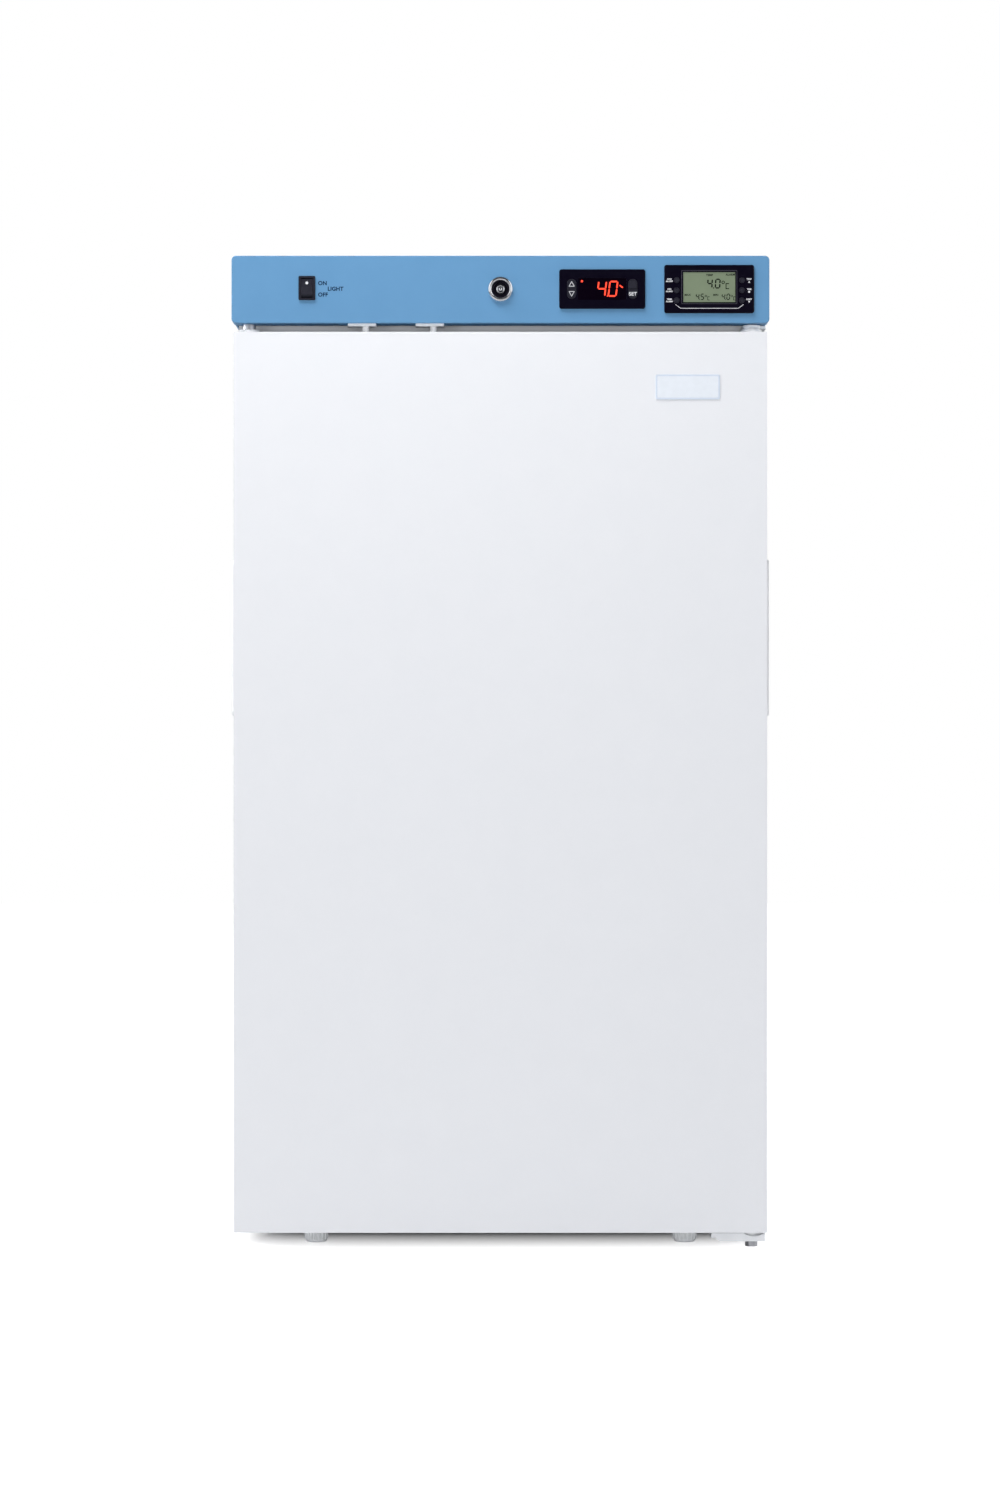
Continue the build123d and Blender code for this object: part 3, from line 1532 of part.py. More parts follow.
inlet_z = bay_top_z - inlet_tab_height / 2
socket_floor_y = rear_y + inlet_flange - inlet_recess_depth
with BuildPart() as power_inlet:
    with BuildSketch(facing_back(rear_y)):
        with Locations((-inlet_x, inlet_z)):
            RectangleRounded(inlet_width + 2 * inlet_lug, inlet_height + 2 * inlet_rim, inlet_corner)
    extrude(amount=inlet_flange)
    slab(
        (inlet_x - inlet_width / 2, inlet_x + inlet_width / 2),
        (rear_y - inlet_body_depth, rear_y),
        (inlet_z - inlet_height / 2, inlet_z + inlet_height / 2),
    )
    slab(
        (inlet_x - inlet_width / 2 + inlet_wall, inlet_x + inlet_width / 2 - inlet_wall),
        (socket_floor_y, rear_y + inlet_flange),
        (inlet_z - inlet_height / 2 + inlet_wall, inlet_z + inlet_height / 2 - inlet_wall),
        Mode.SUBTRACT,
    )
    for dx, dz in contact_places:
        slab(
            (inlet_x + dx - contact_width / 2, inlet_x + dx + contact_width / 2),
            (socket_floor_y, rear_y - contact_sunk),
            (inlet_z + dz - contact_height / 2, inlet_z + dz + contact_height / 2),
        )

with back_panel:
    slab(
        (inlet_x - inlet_width / 2, inlet_x + inlet_width / 2),
        (rear_y - cabinet_sheet, rear_y),
        (inlet_z - inlet_height / 2, inlet_z + inlet_height / 2),
        Mode.SUBTRACT,
    )


finished = {
    "cabinet_wrap": cabinet_wrap,
    "back_panel": back_panel,
    "base_pan": base_pan,
    "cabinet_foam": cabinet_foam,
    "inner_liner": inner_liner,
    "bay_partition": bay_partition,
    "control_panel": control_panel,
    "light_switch_housing": light_switch_housing,
    "light_switch_rocker": light_switch_rocker,
    "lock_body": lock_body,
    "lock_plug": lock_plug,
    "lock_cam": lock_cam,
    "controller_case": controller_case,
    "controller_display": controller_display,
    "alarm_case": alarm_case,
    "alarm_lcd": alarm_lcd,
    "door_switch_housings": door_switch_housings,
    "top_hinge_bracket": top_hinge_bracket,
    "bottom_hinge_bracket": bottom_hinge_bracket,
    "hinge_pins": hinge_pins,
    "hinge_bushes": hinge_bushes,
    "screws": screws,
    "door_skin": door_skin,
    "door_top_cap": door_top_cap,
    "door_bottom_cap": door_bottom_cap,
    "door_foam": door_foam,
    "door_liner": door_liner,
    "door_gasket": door_gasket,
    "door_handles": door_handles,
    "air_duct_cover": air_duct_cover,
    "fan_motor": fan_motor,
    "fan_rotor": fan_rotor,
    "evaporator": evaporator,
    "lamp_base": lamp_base,
    "lamp_lens": lamp_lens,
    "probe_bottle": probe_bottle,
    "compressor": compressor,
    "compressor_mounts": compressor_mounts,
    "drip_tray": drip_tray,
    "refrigerant_pipes": refrigerant_pipes,
    "power_inlet": power_inlet,
}
finished |= feet | keys | buttons | plungers | shelves
for node, piece in finished.items():
    save(piece, node)
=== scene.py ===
import math

import bmesh
import bpy
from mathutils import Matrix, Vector


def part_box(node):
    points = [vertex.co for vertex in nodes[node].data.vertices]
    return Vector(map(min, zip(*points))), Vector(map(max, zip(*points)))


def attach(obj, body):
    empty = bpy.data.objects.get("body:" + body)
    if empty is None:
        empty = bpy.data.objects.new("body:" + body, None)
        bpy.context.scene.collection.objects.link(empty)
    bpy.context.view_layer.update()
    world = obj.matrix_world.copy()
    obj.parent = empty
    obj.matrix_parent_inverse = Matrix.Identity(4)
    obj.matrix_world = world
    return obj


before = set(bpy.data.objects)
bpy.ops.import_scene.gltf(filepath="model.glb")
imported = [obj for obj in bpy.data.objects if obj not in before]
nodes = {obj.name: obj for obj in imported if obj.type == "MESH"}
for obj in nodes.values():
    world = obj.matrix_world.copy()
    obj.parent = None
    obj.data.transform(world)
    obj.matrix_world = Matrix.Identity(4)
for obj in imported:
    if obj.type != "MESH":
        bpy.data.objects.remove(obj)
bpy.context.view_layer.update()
print("frame loaded:", len(nodes), "pieces of the refrigerator")

mm = 0.001  # the model is in metres, and sizes that are multiplied by mm are in millimetres

# Planes that the small fittings stand on, read from the model itself
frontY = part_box("control_panel")[0].y
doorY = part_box("door_skin")[0].y


# Camera and light: the photograph's straight-on view, with soft studio light from above

camera = {
    "distance": 3.2,  # from the front of the door
    "aside": -0.0004,
    "height": 0.4402,
    "frameHeight": 1.310,  # what the picture takes in at the front of the door
    "sensor": 36.0,
}
softboxes = {
    # name: power, width and height, place, what it points at
    "topSoftbox": (18.7, (1.3, 0.6), (-0.45, -0.85, 1.85), (0.0, -0.25, 0.60)),
    # shines up through the gap over the door to the rail behind it
    "gapSoftbox": (56.0, (2.4, 0.34), (-0.30, -4.2, 0.38), (0.0, -0.25, 0.81)),
    # reaches the feet under the door
    "lowSoftbox": (13.4, (2.4, 0.26), (-0.20, -4.0, 0.15), (0.0, -0.25, 0.02)),
    # for the sides and the back
    "leftSoftbox": (36.0, (1.5, 1.8), (-2.6, 0.7, 1.3), (0.0, 0.0, 0.50)),
    "rightSoftbox": (28.0, (1.5, 1.8), (2.6, 0.7, 1.3), (0.0, 0.0, 0.50)),
    "backSoftbox": (44.0, (2.2, 1.2), (0.3, 2.6, 2.7), (0.0, 0.25, 0.45)),
}
unmirrored = ("topSoftbox", "gapSoftbox", "lowSoftbox")  # no shiny piece shows these three
studio = {
    "worldFill": 0.09,
    "fillColour": (0.97, 0.98, 1.0),
    "wallColour": (0.96, 0.97, 1.0),
    "mirrorDark": 0.10,  # what shiny metal sees straight ahead, over it and behind it
    "mirrorBright": 1.25,  # and to its sides
    "wallLean": (1.0, 0.0, -0.55),  # how far a direction points aside, less with height
    "wallEdge": (0.10, 0.30),  # where the walls begin and where they are fully bright
    "floorColour": (0.80, 0.80, 0.81),
    "floorGlow": (0.0, 1.0),  # camera glow: none under the cabinet, a painted shadow there, and full away from it
    "shadowMiddle": (0.0, 0.060, 0.0),
    "shadowHalf": (0.208, 0.175, 0.0),
    "shadowFade": (0.030, 0.100, 1.0),
    "floorSize": 14.0,
}


def aim(thing, place, target):
    thing.location = place
    thing.rotation_euler = (Vector(target) - Vector(place)).to_track_quat("-Z", "Y").to_euler()


def makeCamera():
    data = bpy.data.cameras.new("studioCamera")
    data.sensor_fit = "VERTICAL"
    data.sensor_height = camera["sensor"]
    data.lens = camera["sensor"] * camera["distance"] / camera["frameHeight"]
    data.clip_end = 40
    data.dof.use_dof = False
    thing = bpy.data.objects.new("studioCamera", data)
    bpy.context.scene.collection.objects.link(thing)
    place = Vector((camera["aside"], frontY - camera["distance"], camera["height"]))
    aim(thing, place, place + Vector((0, 1, 0)))
    bpy.context.scene.camera = thing


def makeSoftbox(name, place, target, size, power):
    data = bpy.data.lights.new(name, "AREA")
    data.shape = "RECTANGLE"
    data.size, data.size_y = size
    data.energy = power
    thing = bpy.data.objects.new(name, data)
    bpy.context.scene.collection.objects.link(thing)
    aim(thing, place, target)
    thing.visible_glossy = name not in unmirrored


def backgroundRays(tree):
    # camera and glass rays, which see the background as plain white
    path = tree.nodes.new("ShaderNodeLightPath")
    either = tree.nodes.new("ShaderNodeMath")
    either.operation = "MAXIMUM"
    tree.links.new(path.outputs["Is Camera Ray"], either.inputs[0])
    tree.links.new(path.outputs["Is Transmission Ray"], either.inputs[1])
    return either.outputs[0]


def addVector(tree, operation, source, other=None):
    node = tree.nodes.new("ShaderNodeVectorMath")
    node.operation = operation
    tree.links.new(source, node.inputs[0])
    if other:
        node.inputs[1].default_value = other
    return node.outputs["Value" if operation in ("LENGTH", "DOT_PRODUCT") else "Vector"]


def addRange(tree, source, low, high, atLow, atHigh):
    node = tree.nodes.new("ShaderNodeMapRange")
    node.inputs["From Min"].default_value = low
    node.inputs["From Max"].default_value = high
    node.inputs["To Min"].default_value = atLow
    node.inputs["To Max"].default_value = atHigh
    tree.links.new(source, node.inputs["Value"])
    return node.outputs["Result"]


def mixShaders(tree, factor, first, second):
    node = tree.nodes.new("ShaderNodeMixShader")
    tree.links.new(factor, node.inputs["Fac"])
    tree.links.new(first, node.inputs[1])
    tree.links.new(second, node.inputs[2])
    return node.outputs[0]


def makeWorld():
    world = bpy.data.worlds.new("studioWorld")
    world.use_nodes = True
    tree = world.node_tree
    tree.nodes.clear()
    fill = tree.nodes.new("ShaderNodeBackground")
    fill.inputs["Color"].default_value = (*studio["fillColour"], 1)
    fill.inputs["Strength"].default_value = studio["worldFill"]
    white = tree.nodes.new("ShaderNodeBackground")
    white.inputs["Color"].default_value = (1, 1, 1, 1)
    white.inputs["Strength"].default_value = 1.0
    # shiny metal sees two bright walls at its sides and darkness between them
    where = tree.nodes.new("ShaderNodeTexCoord")
    sizes = addVector(tree, "ABSOLUTE", where.outputs["Generated"])
    aside = addVector(tree, "DOT_PRODUCT", sizes, studio["wallLean"])
    walls = tree.nodes.new("ShaderNodeBackground")
    walls.inputs["Color"].default_value = (*studio["wallColour"], 1)
    strength = addRange(tree, aside, *studio["wallEdge"], studio["mirrorDark"], studio["mirrorBright"])
    tree.links.new(strength, walls.inputs["Strength"])
    path = tree.nodes.new("ShaderNodeLightPath")
    unseen = mixShaders(tree, path.outputs["Is Glossy Ray"], fill.outputs[0], walls.outputs[0])
    out = tree.nodes.new("ShaderNodeOutputWorld")
    seen = mixShaders(tree, backgroundRays(tree), unseen, white.outputs[0])
    tree.links.new(seen, out.inputs["Surface"])
    bpy.context.scene.world = world


def makeFloor():
    # white to the camera, apart from a soft shadow under the cabinet, partly cast by the lamps on the matt
    # floor and partly painted
    material = bpy.data.materials.new("paleFloor")
    material.use_nodes = True
    tree = material.node_tree
    tree.nodes.clear()
    matt = tree.nodes.new("ShaderNodeBsdfDiffuse")
    matt.inputs["Color"].default_value = (*studio["floorColour"], 1)
    where = tree.nodes.new("ShaderNodeTexCoord")
    offset = addVector(tree, "SUBTRACT", where.outputs["Object"], studio["shadowMiddle"])
    outside = addVector(tree, "SUBTRACT", addVector(tree, "ABSOLUTE", offset), studio["shadowHalf"])
    outside = addVector(tree, "MAXIMUM", outside, (0, 0, 0))
    share = addVector(tree, "LENGTH", addVector(tree, "DIVIDE", outside, studio["shadowFade"]))
    # the glow fades to nothing over the cabinet's footprint: a painted shadow, seen only by camera rays, on
    # top of the real one
    glow = tree.nodes.new("ShaderNodeEmission")
    tree.links.new(addRange(tree, share, 0.0, 1.0, *studio["floorGlow"]), glow.inputs["Strength"])
    dark = tree.nodes.new("ShaderNodeEmission")
    dark.inputs["Strength"].default_value = 0.0
    both = tree.nodes.new("ShaderNodeAddShader")
    tree.links.new(matt.outputs[0], both.inputs[0])
    seen = mixShaders(tree, backgroundRays(tree), dark.outputs[0], glow.outputs[0])
    tree.links.new(seen, both.inputs[1])
    out = tree.nodes.new("ShaderNodeOutputMaterial")
    tree.links.new(both.outputs[0], out.inputs["Surface"])
    mesh = bpy.data.meshes.new("studioFloor")
    half = studio["floorSize"] / 2
    corners = [(-half, -half, 0), (half, -half, 0), (half, half, 0), (-half, half, 0)]
    mesh.from_pydata(corners, [], [(0, 1, 2, 3)])
    floor = bpy.data.objects.new("studioFloor", mesh)
    mesh.materials.append(material)
    bpy.context.scene.collection.objects.link(floor)


makeCamera()
makeWorld()
makeFloor()
for name, (power, size, place, target) in softboxes.items():
    makeSoftbox(name, place, target, size, power)
bpy.context.scene.view_settings.view_transform = "Standard"
print("camera and light ready")


# Finishes. Every one is worked out from the piece's own coordinates, in metres.

texture = {
    "driftGrains": 9,  # how many grains wide a patch of the second colour is
    "smearGrains": 30,  # and a patch of other gloss
    "gloss": (0.88, 1.15),  # how far the roughness varies
    "bumpStrength": 0.8,
    "coatRough": 0.12,
    "specular": 0.5,
    "rampEdges": (0.3, 0.7),
}
finishes = {
    # name: colour, second colour that it drifts to, roughness, metal, size of the grain in mm, bump in mm.
    # Flakes are the crystals of a zinc coat.
    "whiteEnamel": {"colour": (0.805, 0.820, 0.855), "drift": (0.797, 0.813, 0.849), "rough": 0.46,
                    "grain": 2.6, "bump": 0.006, "coat": 0.02},
    "blueEnamel": {"colour": (0.124, 0.297, 0.515), "drift": (0.119, 0.289, 0.505), "rough": 0.46,
                   "grain": 2.2, "bump": 0.012, "coat": 0.02},
    "linerPlastic": {"colour": (0.83, 0.84, 0.85), "drift": (0.79, 0.80, 0.82), "rough": 0.38,
                     "grain": 1.4, "bump": 0.02},
    "whitePlastic": {"colour": (0.88, 0.89, 0.91), "drift": (0.85, 0.86, 0.88), "rough": 0.35,
                     "grain": 1.0, "bump": 0.01},
    "greyPlastic": {"colour": (0.60, 0.61, 0.63), "drift": (0.55, 0.56, 0.59), "rough": 0.5,
                    "grain": 0.8, "bump": 0.02},
    "bracketPaint": {"colour": (0.81, 0.83, 0.86), "drift": (0.78, 0.80, 0.83), "rough": 0.36,
                     "grain": 1.2, "bump": 0.01},
    "footPlastic": {"colour": (0.88, 0.90, 0.92), "drift": (0.83, 0.85, 0.88), "rough": 0.42,
                    "grain": 1.2, "bump": 0.02},
    "blackPlastic": {"colour": (0.005, 0.004, 0.010), "drift": (0.008, 0.007, 0.014), "rough": 0.30,
                     "grain": 0.5, "bump": 0.008, "specular": 0.20},
    "instrumentBlack": {"colour": (0.0020, 0.0012, 0.0060), "drift": (0.0030, 0.0022, 0.0075), "rough": 0.32,
                        "grain": 0.5, "bump": 0.008, "specular": 0.08},
    "keyPlastic": {"colour": (0.013, 0.013, 0.021), "drift": (0.018, 0.018, 0.027), "rough": 0.45,
                   "grain": 0.5, "bump": 0.01, "specular": 0.25},
    "blackRubber": {"colour": (0.020, 0.020, 0.021), "drift": (0.035, 0.034, 0.033), "rough": 0.75,
                    "grain": 0.7, "bump": 0.03},
    "gasketVinyl": {"colour": (0.60, 0.61, 0.63), "drift": (0.52, 0.53, 0.56), "rough": 0.6,
                    "grain": 3.0, "bump": 0.05},
    "foam": {"colour": (0.78, 0.66, 0.38), "drift": (0.66, 0.54, 0.30), "rough": 0.9,
             "grain": 1.6, "bump": 0.15},
    "galvanised": {"colour": (0.56, 0.57, 0.59), "drift": (0.47, 0.48, 0.50), "rough": 0.42, "metal": 0.85,
                   "grain": 1.1, "bump": 0.01, "flakes": True},
    "zincSteel": {"colour": (0.66, 0.67, 0.69), "drift": (0.52, 0.53, 0.56), "rough": 0.34, "metal": 1.0,
                  "grain": 1.5, "bump": 0.01},
    "chrome": {"colour": (0.78, 0.79, 0.81), "drift": (0.70, 0.71, 0.73), "rough": 0.10, "metal": 1.0,
               "grain": 2.0, "bump": 0.002},
    "finAluminium": {"colour": (0.74, 0.75, 0.77), "drift": (0.62, 0.63, 0.66), "rough": 0.38, "metal": 1.0,
                     "grain": 2.0, "bump": 0.01},
    "copper": {"colour": (0.64, 0.30, 0.17), "drift": (0.46, 0.20, 0.12), "rough": 0.33, "metal": 1.0,
               "grain": 4.0, "bump": 0.01},
    "compressorBlack": {"colour": (0.016, 0.016, 0.018), "drift": (0.030, 0.030, 0.032), "rough": 0.42,
                        "grain": 1.8, "bump": 0.03, "coat": 0.2},
    "coatedWire": {"colour": (0.80, 0.81, 0.83), "drift": (0.74, 0.75, 0.77), "rough": 0.3,
                   "grain": 1.5, "bump": 0.02, "coat": 0.2},
}


def newTree(name):
    material = bpy.data.materials.new(name)
    material.use_nodes = True
    tree = material.node_tree
    shader = tree.nodes["Principled BSDF"]
    return material, tree, shader


def addGrain(tree, kind, size, detail=2.0):
    # a noise or cell pattern whose features are about size mm across
    where = tree.nodes.new("ShaderNodeTexCoord")
    grain = tree.nodes.new("ShaderNodeTexVoronoi" if kind == "cells" else "ShaderNodeTexNoise")
    grain.inputs["Scale"].default_value = 1 / (size * mm)
    if kind != "cells":
        grain.inputs["Detail"].default_value = detail
    tree.links.new(where.outputs["Object"], grain.inputs["Vector"])
    return grain


def addRamp(tree, source, low, high):
    ramp = tree.nodes.new("ShaderNodeValToRGB")
    for element, edge, colour in zip(ramp.color_ramp.elements, texture["rampEdges"], (low, high)):
        element.position = edge
        element.color = (*colour, 1)
    tree.links.new(source, ramp.inputs["Fac"])
    return ramp.outputs["Color"]


def makeFinish(name, look):
    material, tree, shader = newTree(name)
    kind = "cells" if look.get("flakes") else "noise"
    drift = addGrain(tree, kind, texture["driftGrains"] * look["grain"])
    shade = drift.outputs["Color"] if look.get("flakes") else drift.outputs["Fac"]
    tree.links.new(addRamp(tree, shade, look["colour"], look["drift"]), shader.inputs["Base Color"])
    shader.inputs["Metallic"].default_value = look.get("metal", 0.0)
    shader.inputs["Coat Weight"].default_value = look.get("coat", 0.0)
    shader.inputs["Coat Roughness"].default_value = texture["coatRough"]
    shader.inputs["Specular IOR Level"].default_value = look.get("specular", texture["specular"])
    # gloss changes a little from place to place, as on any handled surface
    smear = addGrain(tree, "noise", texture["smearGrains"] * look["grain"], 4.0)
    low, high = (look["rough"] * part for part in texture["gloss"])
    gloss = addRamp(tree, smear.outputs["Fac"], (low,) * 3, (high,) * 3)
    tree.links.new(gloss, shader.inputs["Roughness"])
    fine = addGrain(tree, "noise", look["grain"], 3.0)
    bump = tree.nodes.new("ShaderNodeBump")
    bump.inputs["Distance"].default_value = look["bump"] * mm
    bump.inputs["Strength"].default_value = texture["bumpStrength"]
    tree.links.new(fine.outputs["Fac"], bump.inputs["Height"])
    tree.links.new(bump.outputs["Normal"], shader.inputs["Normal"])
    return material


materials = {name: makeFinish(name, look) for name, look in finishes.items()}


def makeWindow(name, colour, rough, glow=None, glowPower=0.0, specular=0.3):
    # smooth windows and inks, whose colour varies a little
    material, tree, shader = newTree(name)
    haze = addGrain(tree, "noise", 6.0, 3.0)
    paler = tuple(min(1, c * 1.04 + 0.0004) for c in colour)
    tree.links.new(addRamp(tree, haze.outputs["Fac"], colour, paler), shader.inputs["Base Color"])
    shader.inputs["Roughness"].default_value = rough
    shader.inputs["Specular IOR Level"].default_value = specular
    if glow:
        shader.inputs["Emission Color"].default_value = (*glow, 1)
        shader.inputs["Emission Strength"].default_value = glowPower
    return material


materials["smokedWindow"] = makeWindow("smokedWindow", (0.002, 0.0005, 0.0035), 0.18, specular=0.06)
materials["lcdGreen"] = makeWindow("lcdGreen", (0.182, 0.228, 0.151), 0.35)
materials["lampLens"] = makeWindow("lampLens", (0.86, 0.88, 0.90), 0.30)
materials["ledRed"] = makeWindow("ledRed", (0.60, 0.02, 0.015), 0.4, (1.0, 0.085, 0.035), 1.1)
materials["bottlePlastic"] = makeWindow("bottlePlastic", (0.62, 0.70, 0.74), 0.22)
materials["whiteInk"] = makeWindow("whiteInk", (0.70, 0.71, 0.74), 0.55)
materials["navyInk"] = makeWindow("navyInk", (0.008, 0.018, 0.052), 0.55, specular=0.1)
materials["lcdInk"] = makeWindow("lcdInk", (0.010, 0.014, 0.012), 0.5, specular=0.1)
materials["greyInk"] = makeWindow("greyInk", (0.085, 0.083, 0.105), 0.55)
materials["plateClear"] = makeWindow("plateClear", (0.62, 0.69, 0.80), 0.16)
materials["plateFace"] = makeWindow("plateFace", (0.755, 0.800, 0.865), 0.25)

dressing = {
    "whiteEnamel": ["cabinet_wrap", "door_skin"],
    "blueEnamel": ["control_panel"],
    "linerPlastic": ["inner_liner", "door_liner", "air_duct_cover", "lamp_base"],
    "whitePlastic": ["door_switch_housings", "door_switch_plunger_left", "door_switch_plunger_right",
                     "door_handles", "hinge_bushes"],
    "greyPlastic": ["door_top_cap", "door_bottom_cap", "drip_tray"],
    "footPlastic": ["foot_front_left", "foot_front_right", "foot_rear_left", "foot_rear_right"],
    "blackPlastic": ["lock_plug", "fan_motor", "fan_rotor", "power_inlet"],
    "instrumentBlack": ["controller_case", "alarm_case"],
    "keyPlastic": ["light_switch_housing", "light_switch_rocker", "key_up", "key_down", "key_light", "key_set",
                   "button_left_top", "button_left_middle", "button_left_bottom",
                   "button_right_top", "button_right_middle", "button_right_bottom"],
    "blackRubber": ["compressor_mounts"],
    "gasketVinyl": ["door_gasket"],
    "foam": ["cabinet_foam", "door_foam"],
    "galvanised": ["back_panel", "base_pan", "bay_partition"],
    "bracketPaint": ["bottom_hinge_bracket", "top_hinge_bracket"],
    "zincSteel": ["lock_cam", "hinge_pins", "screws"],
    "chrome": ["lock_body"],
    "finAluminium": ["evaporator"],
    "copper": ["refrigerant_pipes"],
    "compressorBlack": ["compressor"],
    "coatedWire": ["shelf_lower", "shelf_middle", "shelf_upper"],
    "smokedWindow": ["controller_display"],
    "lcdGreen": ["alarm_lcd"],
    "lampLens": ["lamp_lens"],
    "bottlePlastic": ["probe_bottle"],
}
for finish, names in dressing.items():
    for name in names:
        mesh = nodes[name].data
        mesh.materials.clear()
        mesh.materials.append(materials[finish])
print("finishes ready:", len(materials))


# Printed marks and small plates. Each is a set of flat outlines in mm, seen from the front.

lettering = {
    "capitals": 0.69,  # how much of their size the built-in letters are tall
    "spacing": 1.04,
    "depth": 0.04,
    "proud": 0.05,
}
segmentsOf = {"0": "abcdef", "4": "bcfg", "5": "acdfg"}


def platform(name, outlines, frontFace, thick, material, body, bevel=0.0):
    # solid flat shapes that stand thick mm in front of the plane at frontFace (metres)
    mesh = bmesh.new()
    for outline in outlines:
        back = [mesh.verts.new((x * mm, frontFace, z * mm)) for x, z in outline]
        front = [mesh.verts.new((x * mm, frontFace - thick * mm, z * mm)) for x, z in outline]
        mesh.faces.new(front)
        mesh.faces.new(back[::-1])
        for here in range(len(outline)):
            there = (here + 1) % len(outline)
            mesh.faces.new((front[here], back[here], back[there], front[there]))
    bmesh.ops.recalc_face_normals(mesh, faces=mesh.faces)
    data = bpy.data.meshes.new(name)
    mesh.to_mesh(data)
    mesh.free()
    data.materials.append(materials[material])
    piece = bpy.data.objects.new(name, data)
    bpy.context.scene.collection.objects.link(piece)
    if bevel:
        edge = piece.modifiers.new("softEdge", "BEVEL")
        edge.width = bevel * mm
        edge.segments = 3
        edge.limit_method = "ANGLE"
    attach(piece, body)
    return piece


def roundedOutline(x, z, width, height, radius, steps=6):
    points = []
    for corner, (dx, dz) in enumerate(((1, -1), (1, 1), (-1, 1), (-1, -1))):
        cx = x + dx * (width / 2 - radius)
        cz = z + dz * (height / 2 - radius)
        for step in range(steps + 1):
            angle = math.radians(-90 + 90 * corner + 90 * step / steps)
            points.append((cx + radius * math.cos(angle), cz + radius * math.sin(angle)))
    return points


def disc(x, z, radius, steps=24):
    turns = [2 * math.pi * step / steps for step in range(steps)]
    return [(x + radius * math.cos(turn), z + radius * math.sin(turn)) for turn in turns]


def stroke(points, width):
    # one thin quad for each leg of a line
    quads = []
    for (ax, az), (bx, bz) in zip(points, points[1:]):
        along = Vector((bx - ax, bz - az)).normalized()
        side = Vector((-along.y, along.x)) * width / 2
        over = along * width / 2
        start = Vector((ax, az)) - over
        end = Vector((bx, bz)) + over
        quads.append([tuple(start - side), tuple(end - side), tuple(end + side), tuple(start + side)])
    return quads


def words(name, text, x, z, height, frontFace, material, body, align="LEFT", boldness=0.04):
    # capitals height mm tall, with their foot at z and their left end or middle at x
    data = bpy.data.curves.new(name, "FONT")
    data.body = text
    data.size = height * mm / lettering["capitals"]
    data.align_x = align
    data.extrude = lettering["depth"] * mm
    data.offset = boldness * mm
    data.space_character = lettering["spacing"]
    data.materials.append(materials[material])
    piece = bpy.data.objects.new(name, data)
    bpy.context.scene.collection.objects.link(piece)
    piece.location = (x * mm, frontFace - lettering["proud"] * mm, z * mm)
    piece.rotation_euler = (math.radians(90), 0, 0)
    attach(piece, body)


def segmentDigit(digit, x, z, width, height, bar, slant=0.12):
    # the lit bars of one seven-segment digit, with hexagonal ends and a lean to the right
    gap = 0.12 * bar
    halfW, halfH = width / 2 - bar / 2, height / 2 - bar / 2

    def level(dx, dz):
        return (x + dx + slant * dz, z + dz)

    def lying(dz):
        tips = ((-halfW + gap, 0), (-halfW + gap + bar / 2, -bar / 2), (halfW - gap - bar / 2, -bar / 2),
                (halfW - gap, 0), (halfW - gap - bar / 2, bar / 2), (-halfW + gap + bar / 2, bar / 2))
        return [level(dx, dz + rise) for dx, rise in tips]

    def standing(dx, low, high):
        tips = ((0, low + gap), (bar / 2, low + gap + bar / 2), (bar / 2, high - gap - bar / 2),
                (0, high - gap), (-bar / 2, high - gap - bar / 2), (-bar / 2, low + gap + bar / 2))
        return [level(dx + shift, dz) for shift, dz in tips]

    bars = {
        "a": lying(halfH), "g": lying(0), "d": lying(-halfH),
        "b": standing(halfW, 0, halfH), "c": standing(halfW, -halfH, 0),
        "f": standing(-halfW, 0, halfH), "e": standing(-halfW, -halfH, 0),
    }
    return [bars[name] for name in segmentsOf[digit]]


def middleOf(node):
    low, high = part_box(node)
    return (low + high) / 2


def frontOf(node):
    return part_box(node)[0].y


# Temperature controller: red digits behind the window, arrows and a word on its keys

controller = {
    "digitHeight": 14.0,
    "digitWidth": 8.0,
    "bar": 1.35,
    "fourX": -0.4,  # places are from the middle of the case
    "zeroX": 9.4,
    "digitZ": 0.2,
    "pointX": 4.6,
    "degreeX": 16.6,
    "degreeZ": 2.2,
    "degreeHalf": (0.9, 0.7),  # the mark after the digits is a short slanting stroke
    "degreeLine": 1.2,
    "ledX": -17.7,
    "ledZ": 6.8,
    "ledRadius": 1.0,
    "arrowWidth": 4.5,
    "arrowHeight": 4.1,
    "keyLine": 0.5,
    "setHeight": 3.0,
    "inkThick": 0.06,
    "litThick": 0.12,
}


